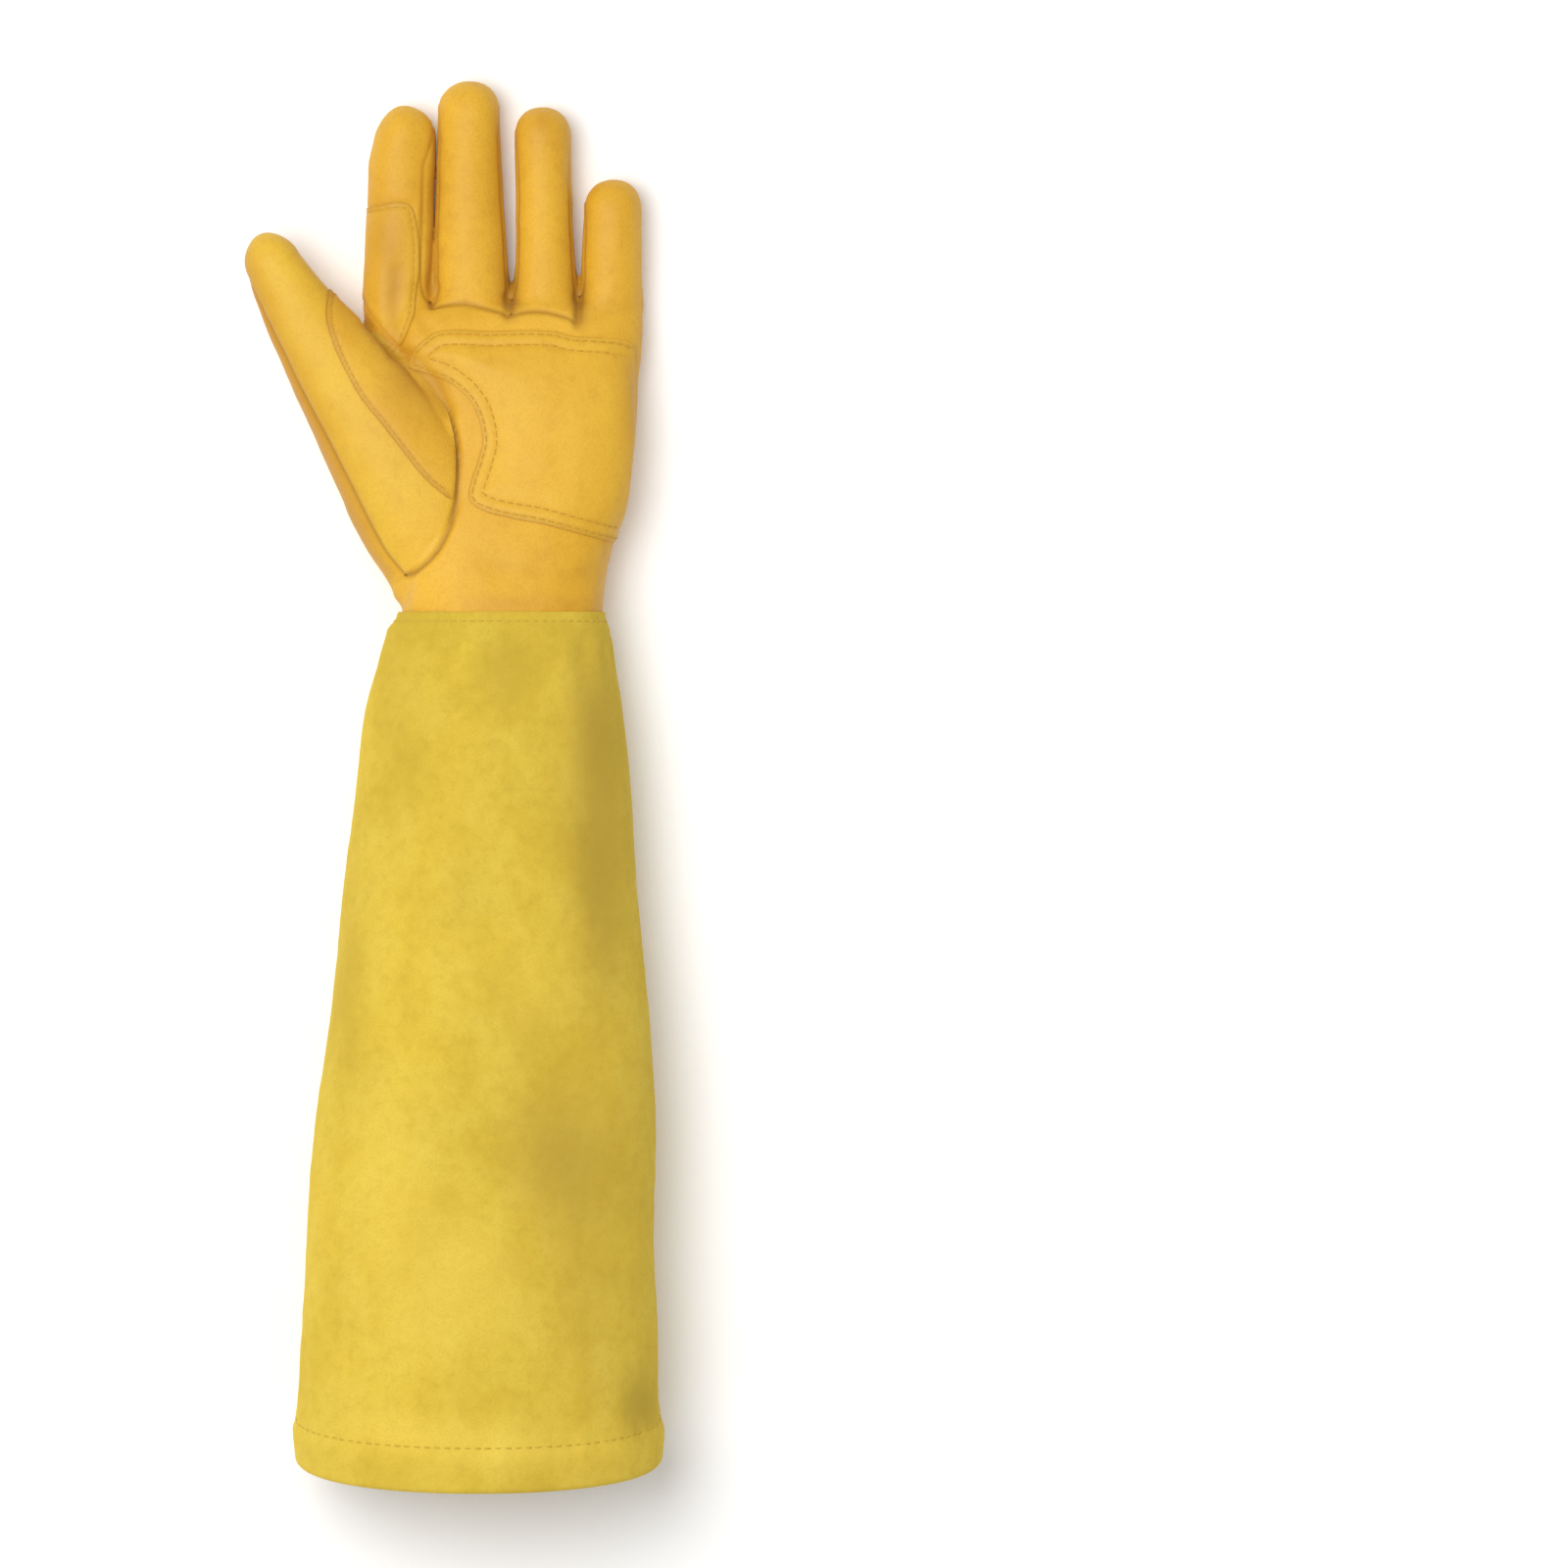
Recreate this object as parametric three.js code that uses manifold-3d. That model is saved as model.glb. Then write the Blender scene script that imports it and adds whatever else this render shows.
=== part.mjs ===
// A long rose pruning gauntlet for the left hand, lying on its back with the palm up. The hand is
// sewn from panels of smooth leather, and its wrist is tucked into a tapered split-leather sleeve.
// Millimetres. It is drawn with the wrist seam at Y = 0, the fingers towards +Y, the thumb towards
// -X, the palm towards +Z and the surface that it lies on at Z = 0.

import * as THREE from "three";
import { mergeVertices } from "three/addons/utils/BufferGeometryUtils.js";
import Module from "manifold-3d";

const wasm = await Module();
wasm.setup();

// Leather
const HAND_LEATHER = 1.6;
const SLEEVE_LEATHER = 1.8;
const PATCH_LEATHER = 1.2;
const SEAM_GAP = 0.4; // between pieces that are sewn side by side, or one on the other

// Hand
const PALM_LENGTH = 110; // from the wrist seam to the root of the middle finger
const PALM_WIDTH = 99; // across the knuckles
const PALM_DEPTH = 34; // through the palm, lying flat
const WRIST_TUCK = 11; // how far the wrist runs on inside the sleeve
const PALM_HOLLOW = 2.2; // how deep the middle of the palm sinks
const GATHER_DEPTH = 1.3; // of the gathers that the elastic makes at the back of the wrist
const GATHER_HEIGHT = 7.5; // from the wrist seam to the elastic
const GATHER_REACH = 4.5; // how far the gathers run to each side of the elastic
const SIDE_HEIGHT = 10.3; // of the fingers' side seams above the surface
const GUSSET_WIDTH = 9; // of the strips between the fingers

// Fingers
const FINGER_LENGTH = 79.3; // the middle one, from its root
const FINGER_WIDTH = 24; // the index finger at its root
const FINGER_DEPTH = 22; // the middle one
const FINGER_START = 0.68; // share of PALM_LENGTH where the finger tubes begin inside the palm
const START_SLIMNESS = 0.3; // share of its size that a finger tube loses there
const START_RISE = 4.5; // how far its middle is raised there
const TIP_ROUNDING = 0.6; // length of a rounded tip as a share of its width

// Thumb, measured along its straight outer edge, which starts at the wrist
const THUMB_ANGLE = 24.3; // degrees between the outer edge and +Y
const THUMB_LENGTH = 143;
const THUMB_WIDTH = 51; // at its root
const THUMB_DEPTH = 36; // at its root
const THUMB_HEIGHT = 22; // of the tip's middle above the surface

// Sleeve
const SLEEVE_LENGTH = 299; // along its side, from the wrist seam to the mouth
const MOUTH_WIDTH = 131.5;
const MOUTH_HEIGHT = 78;
const MOUTH_LEAN = 11; // how far the mouth's upper lip reaches past its sides
const SLEEVE_LAP = 1; // how far the sleeve's top edge reaches past the wrist seam
const HEM_WIDTH = 13; // of the turned hem at the mouth
const DENT_DEPTH = 3; // of the deepest soft dent

// Fineness
const PALM_SIDES = 40;
const FINGER_SIDES = 16;
const THUMB_SIDES = 20;
const FINGER_STEPS = 6; // along the longest finger
const TIP_RINGS = 4;
const FINEST = 0.03; // details smaller than this are merged away
const ROOT_SEAM_STEPS = 8; // along the seam across a finger's root
const BACK_SEAM_STEPS = 10; // along the seam between the thumb and the back of the hand
const WING_STEPS = 24; // along the wing seam
const PATCH_STEPS = 30; // round a second layer's edge
const BEYOND = 400; // larger than the whole gauntlet, for cutters

// The palm from the wrist seam to the finger roots. at: share of PALM_LENGTH. left and right: shares
// of PALM_WIDTH. palm, back and side: heights of the front, the back and the side seam, as shares of
// PALM_DEPTH. A back below 0 is pressed flat on the surface.
const PALM_ROWS = [
  { at: -0.1, left: -0.366, right: 0.362, palm: 1.31, back: 0.13, side: 0.69 },
  { at: 0.02, left: -0.366, right: 0.362, palm: 1.31, back: 0.12, side: 0.68 },
  { at: 0.07, left: -0.36, right: 0.364, palm: 1.28, back: 0.08, side: 0.65 },
  { at: 0.15, left: -0.364, right: 0.374, palm: 1.23, back: 0.02, side: 0.6 },
  { at: 0.28, left: -0.38, right: 0.412, palm: 1.15, back: -0.05, side: 0.54 },
  { at: 0.42, left: -0.405, right: 0.448, palm: 1.08, back: -0.07, side: 0.49 },
  { at: 0.6, left: -0.44, right: 0.477, palm: 1.02, back: -0.06, side: 0.43 },
  { at: 0.75, left: -0.47, right: 0.486, palm: 0.95, back: -0.05, side: 0.37 },
  { at: 0.87, left: -0.49, right: 0.499, palm: 0.86, back: -0.03, side: 0.325 },
  { at: 0.95, left: -0.496, right: 0.502, palm: 0.76, back: 0, side: 0.305 },
  { at: 1, left: -0.48, right: 0.49, palm: 0.64, back: 0.04, side: 0.303 },
];
const PALM_ROUNDNESS = 2.5; // 2 is an ellipse, and more is squarer
const HOLLOW = { across: 0.08, along: 0.6, reachAcross: 0.3, reachAlong: 0.24 };

// The fingers. root and tip: places across the palm as shares of PALM_WIDTH. long: share of
// FINGER_LENGTH. rootWide, middleWide and tipWide: shares of FINGER_WIDTH. deep: of FINGER_DEPTH.
const FINGERS = [
  { name: "index", root: -0.376, tip: -0.362, long: 0.89, rootWide: 1, middleWide: 0.975, tipWide: 0.95, deep: 0.955 },
  { name: "middle", root: -0.11, tip: -0.117, long: 1, rootWide: 1.183, middleWide: 1.067, tipWide: 0.908, deep: 1 },
  { name: "ring", root: 0.156, tip: 0.145, long: 0.887, rootWide: 1.025, middleWide: 0.871, tipWide: 0.842, deep: 0.955 },
  { name: "little", root: 0.389, tip: 0.395, long: 0.562, rootWide: 0.958, middleWide: 0.908, tipWide: 0.85, deep: 0.909 },
];

// The thumb. at: share of THUMB_LENGTH. inner and outer: edges as shares of THUMB_WIDTH, from the
// outer edge line. deep: share of THUMB_DEPTH. height: of its middle, as a share of THUMB_HEIGHT.
const THUMB_ROWS = [
  { at: 0, outer: 0.06, inner: 0.5, deep: 0.5, height: 0.9 },
  { at: 0.06, outer: 0.006, inner: 0.84, deep: 0.82, height: 0.88 },
  { at: 0.23, outer: 0, inner: 0.98, deep: 1, height: 0.93 },
  { at: 0.455, outer: 0, inner: 0.86, deep: 0.92, height: 0.98 },
  { at: 0.685, outer: 0.002, inner: 0.64, deep: 0.76, height: 1 },
  { at: 0.785, outer: 0.005, inner: 0.535, deep: 0.66, height: 1 },
  { at: 0.86, outer: 0.015, inner: 0.47, deep: 0.6, height: 1 },
  { at: 0.915, outer: 0.035, inner: 0.43, deep: 0.55, height: 1 },
];
const THUMB_ROUNDNESS = 2.2;
const FINGER_ROUNDNESS = 2.15;

// The sleeve. at: share of SLEEVE_LENGTH from the wrist seam to the mouth. left and right: shares of
// MOUTH_WIDTH. top, under and side: heights as shares of MOUTH_HEIGHT.
const SLEEVE_ROWS = [
  { at: 0.025, left: -0.316, right: 0.291, top: 0.606, under: 0.02, side: 0.3 },
  { at: 0.055, left: -0.336, right: 0.3, top: 0.618, under: 0, side: 0.303 },
  { at: 0.117, left: -0.371, right: 0.323, top: 0.662, under: -0.02, side: 0.315 },
  { at: 0.235, left: -0.405, right: 0.345, top: 0.734, under: -0.035, side: 0.345 },
  { at: 0.35, left: -0.439, right: 0.366, top: 0.792, under: -0.045, side: 0.375 },
  { at: 0.465, left: -0.471, right: 0.391, top: 0.846, under: -0.05, side: 0.4 },
  { at: 0.58, left: -0.502, right: 0.407, top: 0.888, under: -0.05, side: 0.42 },
  { at: 0.7, left: -0.523, right: 0.409, top: 0.925, under: -0.05, side: 0.44 },
  { at: 0.815, left: -0.535, right: 0.416, top: 0.955, under: -0.05, side: 0.455 },
  { at: 0.93, left: -0.55, right: 0.429, top: 0.985, under: -0.05, side: 0.47 },
  { at: 0.97, left: -0.56, right: 0.44, top: 1, under: -0.05, side: 0.47 },
  { at: 1, left: -0.554, right: 0.434, top: 0.99, under: -0.05, side: 0.47 },
];
const SLEEVE_ROUNDNESS = 2.15;

// Soft dents in the sleeve. at: share of SLEEVE_LENGTH. around: degrees from the little finger's side
// over the top. deep: share of DENT_DEPTH. along and across: reach as shares of SLEEVE_LENGTH and of
// a turn.
const SLEEVE_DENTS = [
  { at: 0.3, around: 38, deep: 0.87, along: 0.13, across: 0.05 },
  { at: 0.6, around: 62, deep: 1, along: 0.1, across: 0.055 },
  { at: 0.72, around: 128, deep: 0.6, along: 0.12, across: 0.06 },
  { at: 0.93, around: 26, deep: 0.8, along: 0.05, across: 0.035 },
  { at: 0.2, around: 140, deep: 0.5, along: 0.1, across: 0.06 },
  { at: 0.45, around: 168, deep: 0.73, along: 0.12, across: 0.06 },
];

// Seams. The wing seam bounds the front of the thumb on the palm, from the wrist to the crotch.
// along and across: shares of THUMB_LENGTH and THUMB_WIDTH, from the thumb's outer edge.
const WING_SEAM = [
  { along: 0.079, across: 0.186 },
  { along: 0.084, across: 0.288 },
  { along: 0.102, across: 0.439 },
  { along: 0.138, across: 0.58 },
  { along: 0.183, across: 0.698 },
  { along: 0.233, across: 0.784 },
  { along: 0.285, across: 0.851 },
  { along: 0.349, across: 0.904 },
  { along: 0.423, across: 0.922 },
  { along: 0.509, across: 0.853 },
  { along: 0.612, across: 0.759 },
  { along: 0.688, across: 0.647 },
];
// The thumb's outer side seam: its height along the thumb, as a share of THUMB_HEIGHT.
const THUMB_SIDE_SEAM = [
  { at: -0.2, height: 1.5 },
  { at: 0.06, height: 1.5 },
  { at: 0.35, height: 1.48 },
  { at: 0.585, height: 1.38 },
  { at: 0.75, height: 1.29 },
  { at: 0.88, height: 1.1 },
  { at: 0.95, height: 0.88 },
  { at: 1, height: 0.84 },
  { at: 1.3, height: 0.84 },
];
const THUMB_BACK_HEIGHT = 0.84; // top of the thumb's back panel at its inner side, of THUMB_HEIGHT
// The seam between the thumb's back panel and the back of the hand. Shares of the palm's sizes.
const THUMB_BACK_SEAM = [
  { across: -0.31, along: -0.13 },
  { across: -0.318, along: 0 },
  { across: -0.343, along: 0.129 },
  { across: -0.385, along: 0.45 },
  { across: -0.44, along: 0.75 },
  { across: -0.49, along: 0.939 },
];
// The seams across the roots of the middle and ring fingers. Shares of the palm's sizes.
const ROOT_SEAMS = {
  middle: [
    { across: -0.26, along: 0.985 },
    { across: -0.158, along: 1.003 },
    { across: -0.084, along: 0.99 },
    { across: 0.03, along: 0.955 },
  ],
  ring: [
    { across: 0.035, along: 0.955 },
    { across: 0.105, along: 0.977 },
    { across: 0.172, along: 0.971 },
    { across: 0.24, along: 0.945 },
    { across: 0.285, along: 0.92 },
  ],
};
// Outlines of the second layers. palm: shares of the palm's sizes, from its upper inner corner round
// the thumb and along the heel. A stretch past the hand's edge only has to clear it.
const PALM_PATCH = [
  { across: -0.325, along: 0.85 },
  { across: -0.336, along: 0.8 },
  { across: -0.26, along: 0.777 },
  { across: -0.193, along: 0.752 },
  { across: -0.129, along: 0.705 },
  { across: -0.09, along: 0.648 },
  { across: -0.07, along: 0.567 },
  { across: -0.084, along: 0.505 },
  { across: -0.115, along: 0.415 },
  { across: -0.118, along: 0.372 },
  { across: -0.077, along: 0.34 },
  { across: 0.014, along: 0.315 },
  { across: 0.143, along: 0.293 },
  { across: 0.273, along: 0.262 },
  { across: 0.378, along: 0.24 },
  { across: 0.6, along: 0.2 },
];
const PALM_PATCH_TOP = [
  { across: 0.6, along: 0.865 },
  { across: 0.494, along: 0.87 },
  { across: 0.403, along: 0.889 },
  { across: 0.255, along: 0.898 },
  { across: 0.189, along: 0.913 },
  { across: 0.088, along: 0.917 },
  { across: -0.042, along: 0.914 },
  { across: -0.21, along: 0.917 },
  { across: -0.27, along: 0.892 },
  { across: -0.325, along: 0.85 },
];
const PALM_PATCH_SIDE = 0.56; // how low the palm patch comes down the hand's side, of PALM_DEPTH
const CROTCH_PATCH_EDGE = [
  { across: -0.18, along: 0.365 },
  { across: -0.277, along: 0.441 },
  { across: -0.354, along: 0.526 },
  { across: -0.427, along: 0.612 },
  { across: -0.501, along: 0.694 },
  { across: -0.561, along: 0.788 },
  { across: -0.606, along: 0.879 },
  { across: -0.63, along: 0.965 },
  { across: -0.62, along: 1.06 },
];
const CROTCH_PATCH_INSET = 1.8; // between the wing seam and the crotch patch
const INDEX_PATCH = [
  { across: -0.65, along: 1.3 },
  { across: -0.483, along: 1.315 },
  { across: -0.382, along: 1.33 },
  { across: -0.329, along: 1.321 },
  { across: -0.308, along: 1.27 },
  { across: -0.298, along: 1.188 },
  { across: -0.298, along: 1.066 },
  { across: -0.322, along: 0.952 },
  { across: -0.37, along: 0.868 },
  { across: -0.42, along: 0.89 },
  { across: -0.46, along: 0.945 },
  { across: -0.51, along: 0.99 },
  { across: -0.65, along: 1.02 },
];
const INDEX_PATCH_LOW = 1; // height of its lower edge above the surface

// Ways to read the tables

// A smooth curve through one column of a table whose rows are placed by their "at".
function through(rows, column) {
  const x = rows.map((row) => row.at);
  const y = rows.map((row) => row[column]);
  const last = x.length - 1;
  const slopes = x.map((_, i) => {
    const before = Math.max(i - 1, 0);
    const after = Math.min(i + 1, last);
    return (y[after] - y[before]) / (x[after] - x[before]);
  });
  return (at) => {
    let i = 0;
    while (i < last - 1 && at > x[i + 1]) i += 1;
    const step = x[i + 1] - x[i];
    const t = THREE.MathUtils.clamp((at - x[i]) / step, 0, 1);
    const ends = y[i] * (1 + 2 * t) * (1 - t) ** 2 + y[i + 1] * t * t * (3 - 2 * t);
    return ends + step * t * (1 - t) * (slopes[i] * (1 - t) - slopes[i + 1] * t);
  };
}

const thumbTurn = THREE.MathUtils.degToRad(THUMB_ANGLE);
const thumbAlong = new THREE.Vector2(-Math.sin(thumbTurn), Math.cos(thumbTurn));
const thumbAcross = new THREE.Vector2(Math.cos(thumbTurn), Math.sin(thumbTurn));
const thumbStart = new THREE.Vector2((PALM_ROWS[1].left - 0.018) * PALM_WIDTH, 0);

const onPalm = ({ across, along }) => new THREE.Vector2(across * PALM_WIDTH, along * PALM_LENGTH);
const onThumb = ({ across, along }) =>
  thumbStart
    .clone()
    .addScaledVector(thumbAlong, along * THUMB_LENGTH)
    .addScaledVector(thumbAcross, across * THUMB_WIDTH);

const smooth = (points, steps) => new THREE.SplineCurve(points).getPoints(steps);

// Solids

// A ring of points round a flattened oval. grow moves it outwards, or inwards where it is negative.
function ring(section, sides, grow = 0) {
  const { centre, across, half, up, down, roundness } = section;
  const shrink = section.shrink ?? 1;
  const points = [];
  for (let i = 0; i < sides; i += 1) {
    const angle = (2 * Math.PI * i) / sides;
    const move = section.move ? section.move(angle) : 0;
    const [c, s] = [Math.cos(angle), Math.sin(angle)];
    const power = 2 / roundness;
    const sideways = Math.sign(c) * Math.abs(c) ** power * (half + grow + move) * shrink;
    const height = Math.sign(s) * Math.abs(s) ** power * ((s > 0 ? up : down) + grow + move) * shrink;
    const lean = section.lean ? section.lean * (height / up) : 0;
    points.push(
      new THREE.Vector3(
        centre.x + across.x * sideways,
        centre.y + across.y * sideways - lean,
        Math.max(centre.z + height, -grow),
      ),
    );
  }
  return points;
}

// A closed skin over rings, with a flat or pointed cap on each end.
function skin(rings, { endPoint } = {}) {
  const sides = rings[0].length;
  const middle = (points) =>
    points.reduce((sum, p) => sum.add(p), new THREE.Vector3()).divideScalar(points.length);
  const last = rings.length - 1;
  const points = [...rings.flat(), middle(rings[0]), endPoint ?? middle(rings[last])];
  const start = rings.length * sides;
  const index = [];
  for (let k = 0; k < sides; k += 1) {
    const next = (k + 1) % sides;
    for (let i = 0; i < last; i += 1) {
      const [a, b] = [i * sides, (i + 1) * sides];
      index.push(a + k, b + k, b + next, a + k, b + next, a + next);
    }
    index.push(start, k, next, start + 1, last * sides + next, last * sides + k);
  }
  return new THREE.BufferGeometry().setFromPoints(points).setIndex(index);
}

// A wall between an outer and an inner tube of rings, open at both ends.
function wall(outer, inner) {
  const rings = [...outer, ...inner.toReversed()];
  const sides = outer[0].length;
  const index = [];
  for (let i = 0; i < rings.length; i += 1) {
    const [a, b] = [i * sides, ((i + 1) % rings.length) * sides];
    for (let k = 0; k < sides; k += 1) {
      const next = (k + 1) % sides;
      index.push(a + k, b + next, b + k, a + k, a + next, b + next);
    }
  }
  return new THREE.BufferGeometry().setFromPoints(rings.flat()).setIndex(index);
}

function solid(geometry) {
  const bare = geometry.index ? geometry.toNonIndexed() : geometry.clone();
  bare.deleteAttribute("normal");
  bare.deleteAttribute("uv");
  const merged = mergeVertices(bare, 1e-4);
  return new wasm.Manifold(
    new wasm.Mesh({
      numProp: 3,
      vertProperties: merged.attributes.position.array,
      triVerts: new Uint32Array(merged.index.array),
    }),
  );
}

const united = (solids) => solids.reduce((all, one) => all.add(one));

// Everything inside an outline seen from above, between two heights.
function prism(outline, low = -BEYOND, high = BEYOND) {
  const geometry = new THREE.ExtrudeGeometry(new THREE.Shape(outline), {
    depth: high - low,
    bevelEnabled: false,
  });
  return solid(geometry.translate(0, 0, low));
}

// An outline moved outwards by a distance.
function grown(outline, distance) {
  const turn = THREE.ShapeUtils.isClockWise(outline) ? -1 : 1;
  return outline.map((point, i) => {
    const before = outline[(i + outline.length - 1) % outline.length];
    const after = outline[(i + 1) % outline.length];
    const a = point.clone().sub(before).normalize();
    const b = after.clone().sub(point).normalize();
    const normal = new THREE.Vector2(a.y + b.y, -a.x - b.x).multiplyScalar(turn).normalize();
    const spread = Math.max(0.5, Math.sqrt((1 + a.dot(b)) / 2));
    return point.clone().addScaledVector(normal, distance / spread);
  });
}

// Everything above a profile of heights that runs along one direction and reaches across it.
function above(profile, origin, along, across, from, to) {
  const top = [
    new THREE.Vector2(profile.at(-1).x, BEYOND),
    new THREE.Vector2(profile[0].x, BEYOND),
  ];
  const geometry = new THREE.ExtrudeGeometry(new THREE.Shape([...profile, ...top]), {
    depth: to - from,
    bevelEnabled: false,
  });
  const place = new THREE.Matrix4().makeBasis(
    new THREE.Vector3(along.x, along.y, 0),
    new THREE.Vector3(0, 0, 1),
    new THREE.Vector3(across.x, across.y, 0),
  );
  geometry.translate(0, 0, from).applyMatrix4(place);
  return solid(geometry.translate(origin.x, origin.y, 0));
}

// The hand

const palm = Object.fromEntries(
  ["left", "right", "palm", "back", "side"].map((name) => [name, through(PALM_ROWS, name)]),
);
const rowX = new THREE.Vector2(1, 0);
const rowY = new THREE.Vector2(0, 1);

const sideHeight = (y) => (y > PALM_LENGTH ? SIDE_HEIGHT : palm.side(y / PALM_LENGTH) * PALM_DEPTH);

// How far the elastic pulls the back of the wrist in, at an angle round it.
function gather(y, angle) {
  const near = Math.max(0, 1 - ((y - GATHER_HEIGHT) / GATHER_REACH) ** 2);
  const atBack = Math.max(0, -Math.sin(angle)) ** 0.5;
  const wave = Math.cos((angle * PALM_SIDES) / 2);
  return GATHER_DEPTH * near * atBack * (wave - 0.6) * 0.6;
}

function palmSection(at) {
  const [left, right] = [palm.left(at) * PALM_WIDTH, palm.right(at) * PALM_WIDTH];
  const y = at * PALM_LENGTH;
  const side = palm.side(at) * PALM_DEPTH;
  const dent = ((at - HOLLOW.along) / HOLLOW.reachAlong) ** 2;
  return {
    centre: new THREE.Vector3((left + right) / 2, y, side),
    across: rowX,
    half: (right - left) / 2,
    up: palm.palm(at) * PALM_DEPTH - side - PALM_HOLLOW * Math.exp(-dent),
    down: side - palm.back(at) * PALM_DEPTH,
    roundness: PALM_ROUNDNESS,
    move: (angle) => gather(y, angle),
  };
}

const GATHER_RINGS = [GATHER_HEIGHT - GATHER_REACH, GATHER_HEIGHT, GATHER_HEIGHT + GATHER_REACH];

function palmSolid(grow) {
  const places = [
    -WRIST_TUCK / PALM_LENGTH,
    ...GATHER_RINGS.map((y) => y / PALM_LENGTH),
    ...PALM_ROWS.slice(3).map((row) => row.at),
  ];
  const rings = places.map((at) => ring(palmSection(at), PALM_SIDES, grow));
  const open = grow < 0 ? -1 : 0; // the hollow runs out of the wrist
  rings[0].forEach((p) => p.setY(p.y + open));
  rings.at(-1).forEach((p) => p.setY(p.y + grow));
  return solid(skin(rings));
}

function tipRings(section, reach, sides, grow, forward) {
  const rings = [];
  for (let i = 1; i < TIP_RINGS; i += 1) {
    const angle = (Math.PI / 2) * (i / TIP_RINGS);
    const centre = section.centre.clone().addScaledVector(forward, (reach + grow) * Math.sin(angle));
    rings.push(ring({ ...section, centre, shrink: Math.cos(angle) }, sides, grow));
  }
  return { rings, endPoint: section.centre.clone().addScaledVector(forward, reach + grow) };
}

const lengthOf = (finger) => finger.long * FINGER_LENGTH;
const fingerTop = (finger) => PALM_LENGTH + lengthOf(finger);
const tipReach = (finger) => finger.tipWide * FINGER_WIDTH * TIP_ROUNDING;

// A finger's middle and half sizes at a place along Y. Its tube is slimmer where it starts.
function fingerAt(finger, y) {
  const start = (FINGER_START - 1) * PALM_LENGTH;
  const straight = lengthOf(finger) - tipReach(finger);
  const at = THREE.MathUtils.clamp((y - PALM_LENGTH) / straight, 0, 1);
  const slimmer = THREE.MathUtils.clamp((y - PALM_LENGTH) / start, 0, 1);
  const widths = [
    { at: 0, wide: finger.rootWide },
    { at: 0.3, wide: finger.middleWide },
    { at: 1, wide: finger.tipWide },
  ];
  const x = THREE.MathUtils.lerp(finger.root, finger.tip, at) * PALM_WIDTH;
  const size = 1 - START_SLIMNESS * slimmer;
  return {
    x,
    half: (size * through(widths, "wide")(at) * FINGER_WIDTH) / 2,
    halfDepth: (size * finger.deep * FINGER_DEPTH) / 2,
    z: SIDE_HEIGHT + START_RISE * slimmer,
  };
}

function fingerSolid(finger, grow) {
  const start = FINGER_START * PALM_LENGTH;
  const tipStart = fingerTop(finger) - tipReach(finger);
  const places = [start, PALM_LENGTH];
  const steps = Math.round(finger.long * FINGER_STEPS);
  for (let i = 1; i <= steps; i += 1) {
    places.push(PALM_LENGTH + ((tipStart - PALM_LENGTH) * i) / steps);
  }
  const sections = places.map((y) => {
    const { x, half, halfDepth, z } = fingerAt(finger, y);
    return {
      centre: new THREE.Vector3(x, y, z),
      across: rowX,
      half,
      up: halfDepth,
      down: halfDepth,
      roundness: FINGER_ROUNDNESS,
    };
  });
  const rings = sections.map((section) => ring(section, FINGER_SIDES, grow));
  const forward = new THREE.Vector3(0, 1, 0);
  const tip = tipRings(sections.at(-1), tipReach(finger), FINGER_SIDES, grow, forward);
  return solid(skin([...rings, ...tip.rings], tip));
}

const thumb = Object.fromEntries(
  ["inner", "outer", "deep", "height"].map((name) => [name, through(THUMB_ROWS, name)]),
);

function thumbSection(at) {
  const [outer, inner] = [thumb.outer(at) * THUMB_WIDTH, thumb.inner(at) * THUMB_WIDTH];
  const middle = onThumb({ along: at, across: (outer + inner) / 2 / THUMB_WIDTH });
  const half = (thumb.deep(at) * THUMB_DEPTH) / 2;
  return {
    centre: new THREE.Vector3(middle.x, middle.y, thumb.height(at) * THUMB_HEIGHT),
    across: thumbAcross,
    half: (inner - outer) / 2,
    up: half,
    down: half,
    roundness: THUMB_ROUNDNESS,
  };
}

function thumbSolid(grow) {
  const sections = THUMB_ROWS.map((row) => thumbSection(row.at));
  const rings = sections.map((section) => ring(section, THUMB_SIDES, grow));
  const reach = (1 - THUMB_ROWS.at(-1).at) * THUMB_LENGTH;
  const forward = new THREE.Vector3(thumbAlong.x, thumbAlong.y, 0);
  const tip = tipRings(sections.at(-1), reach, THUMB_SIDES, grow, forward);
  return solid(skin([...rings, ...tip.rings], tip));
}

const handSolid = (grow) =>
  united([palmSolid(grow), thumbSolid(grow), ...FINGERS.map((finger) => fingerSolid(finger, grow))]);

// Where the hand is cut into panels

// Everything on the palm's side of the side seams, moved up by a distance.
function palmSide(shift) {
  const profile = [new THREE.Vector2(-BEYOND, sideHeight(-WRIST_TUCK) + shift)];
  for (const { at } of PALM_ROWS) {
    profile.push(new THREE.Vector2(at * PALM_LENGTH, sideHeight(at * PALM_LENGTH) + shift));
  }
  profile.push(new THREE.Vector2(BEYOND, SIDE_HEIGHT + shift));
  return above(profile, new THREE.Vector2(), rowY, rowX, -BEYOND, BEYOND);
}

// The line halfway between a finger and the next one, at a place along Y.
function between(k, y) {
  const [a, b] = [fingerAt(FINGERS[k], y), fingerAt(FINGERS[k + 1], y)];
  return (a.x + a.half + b.x - b.half) / 2;
}

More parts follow.
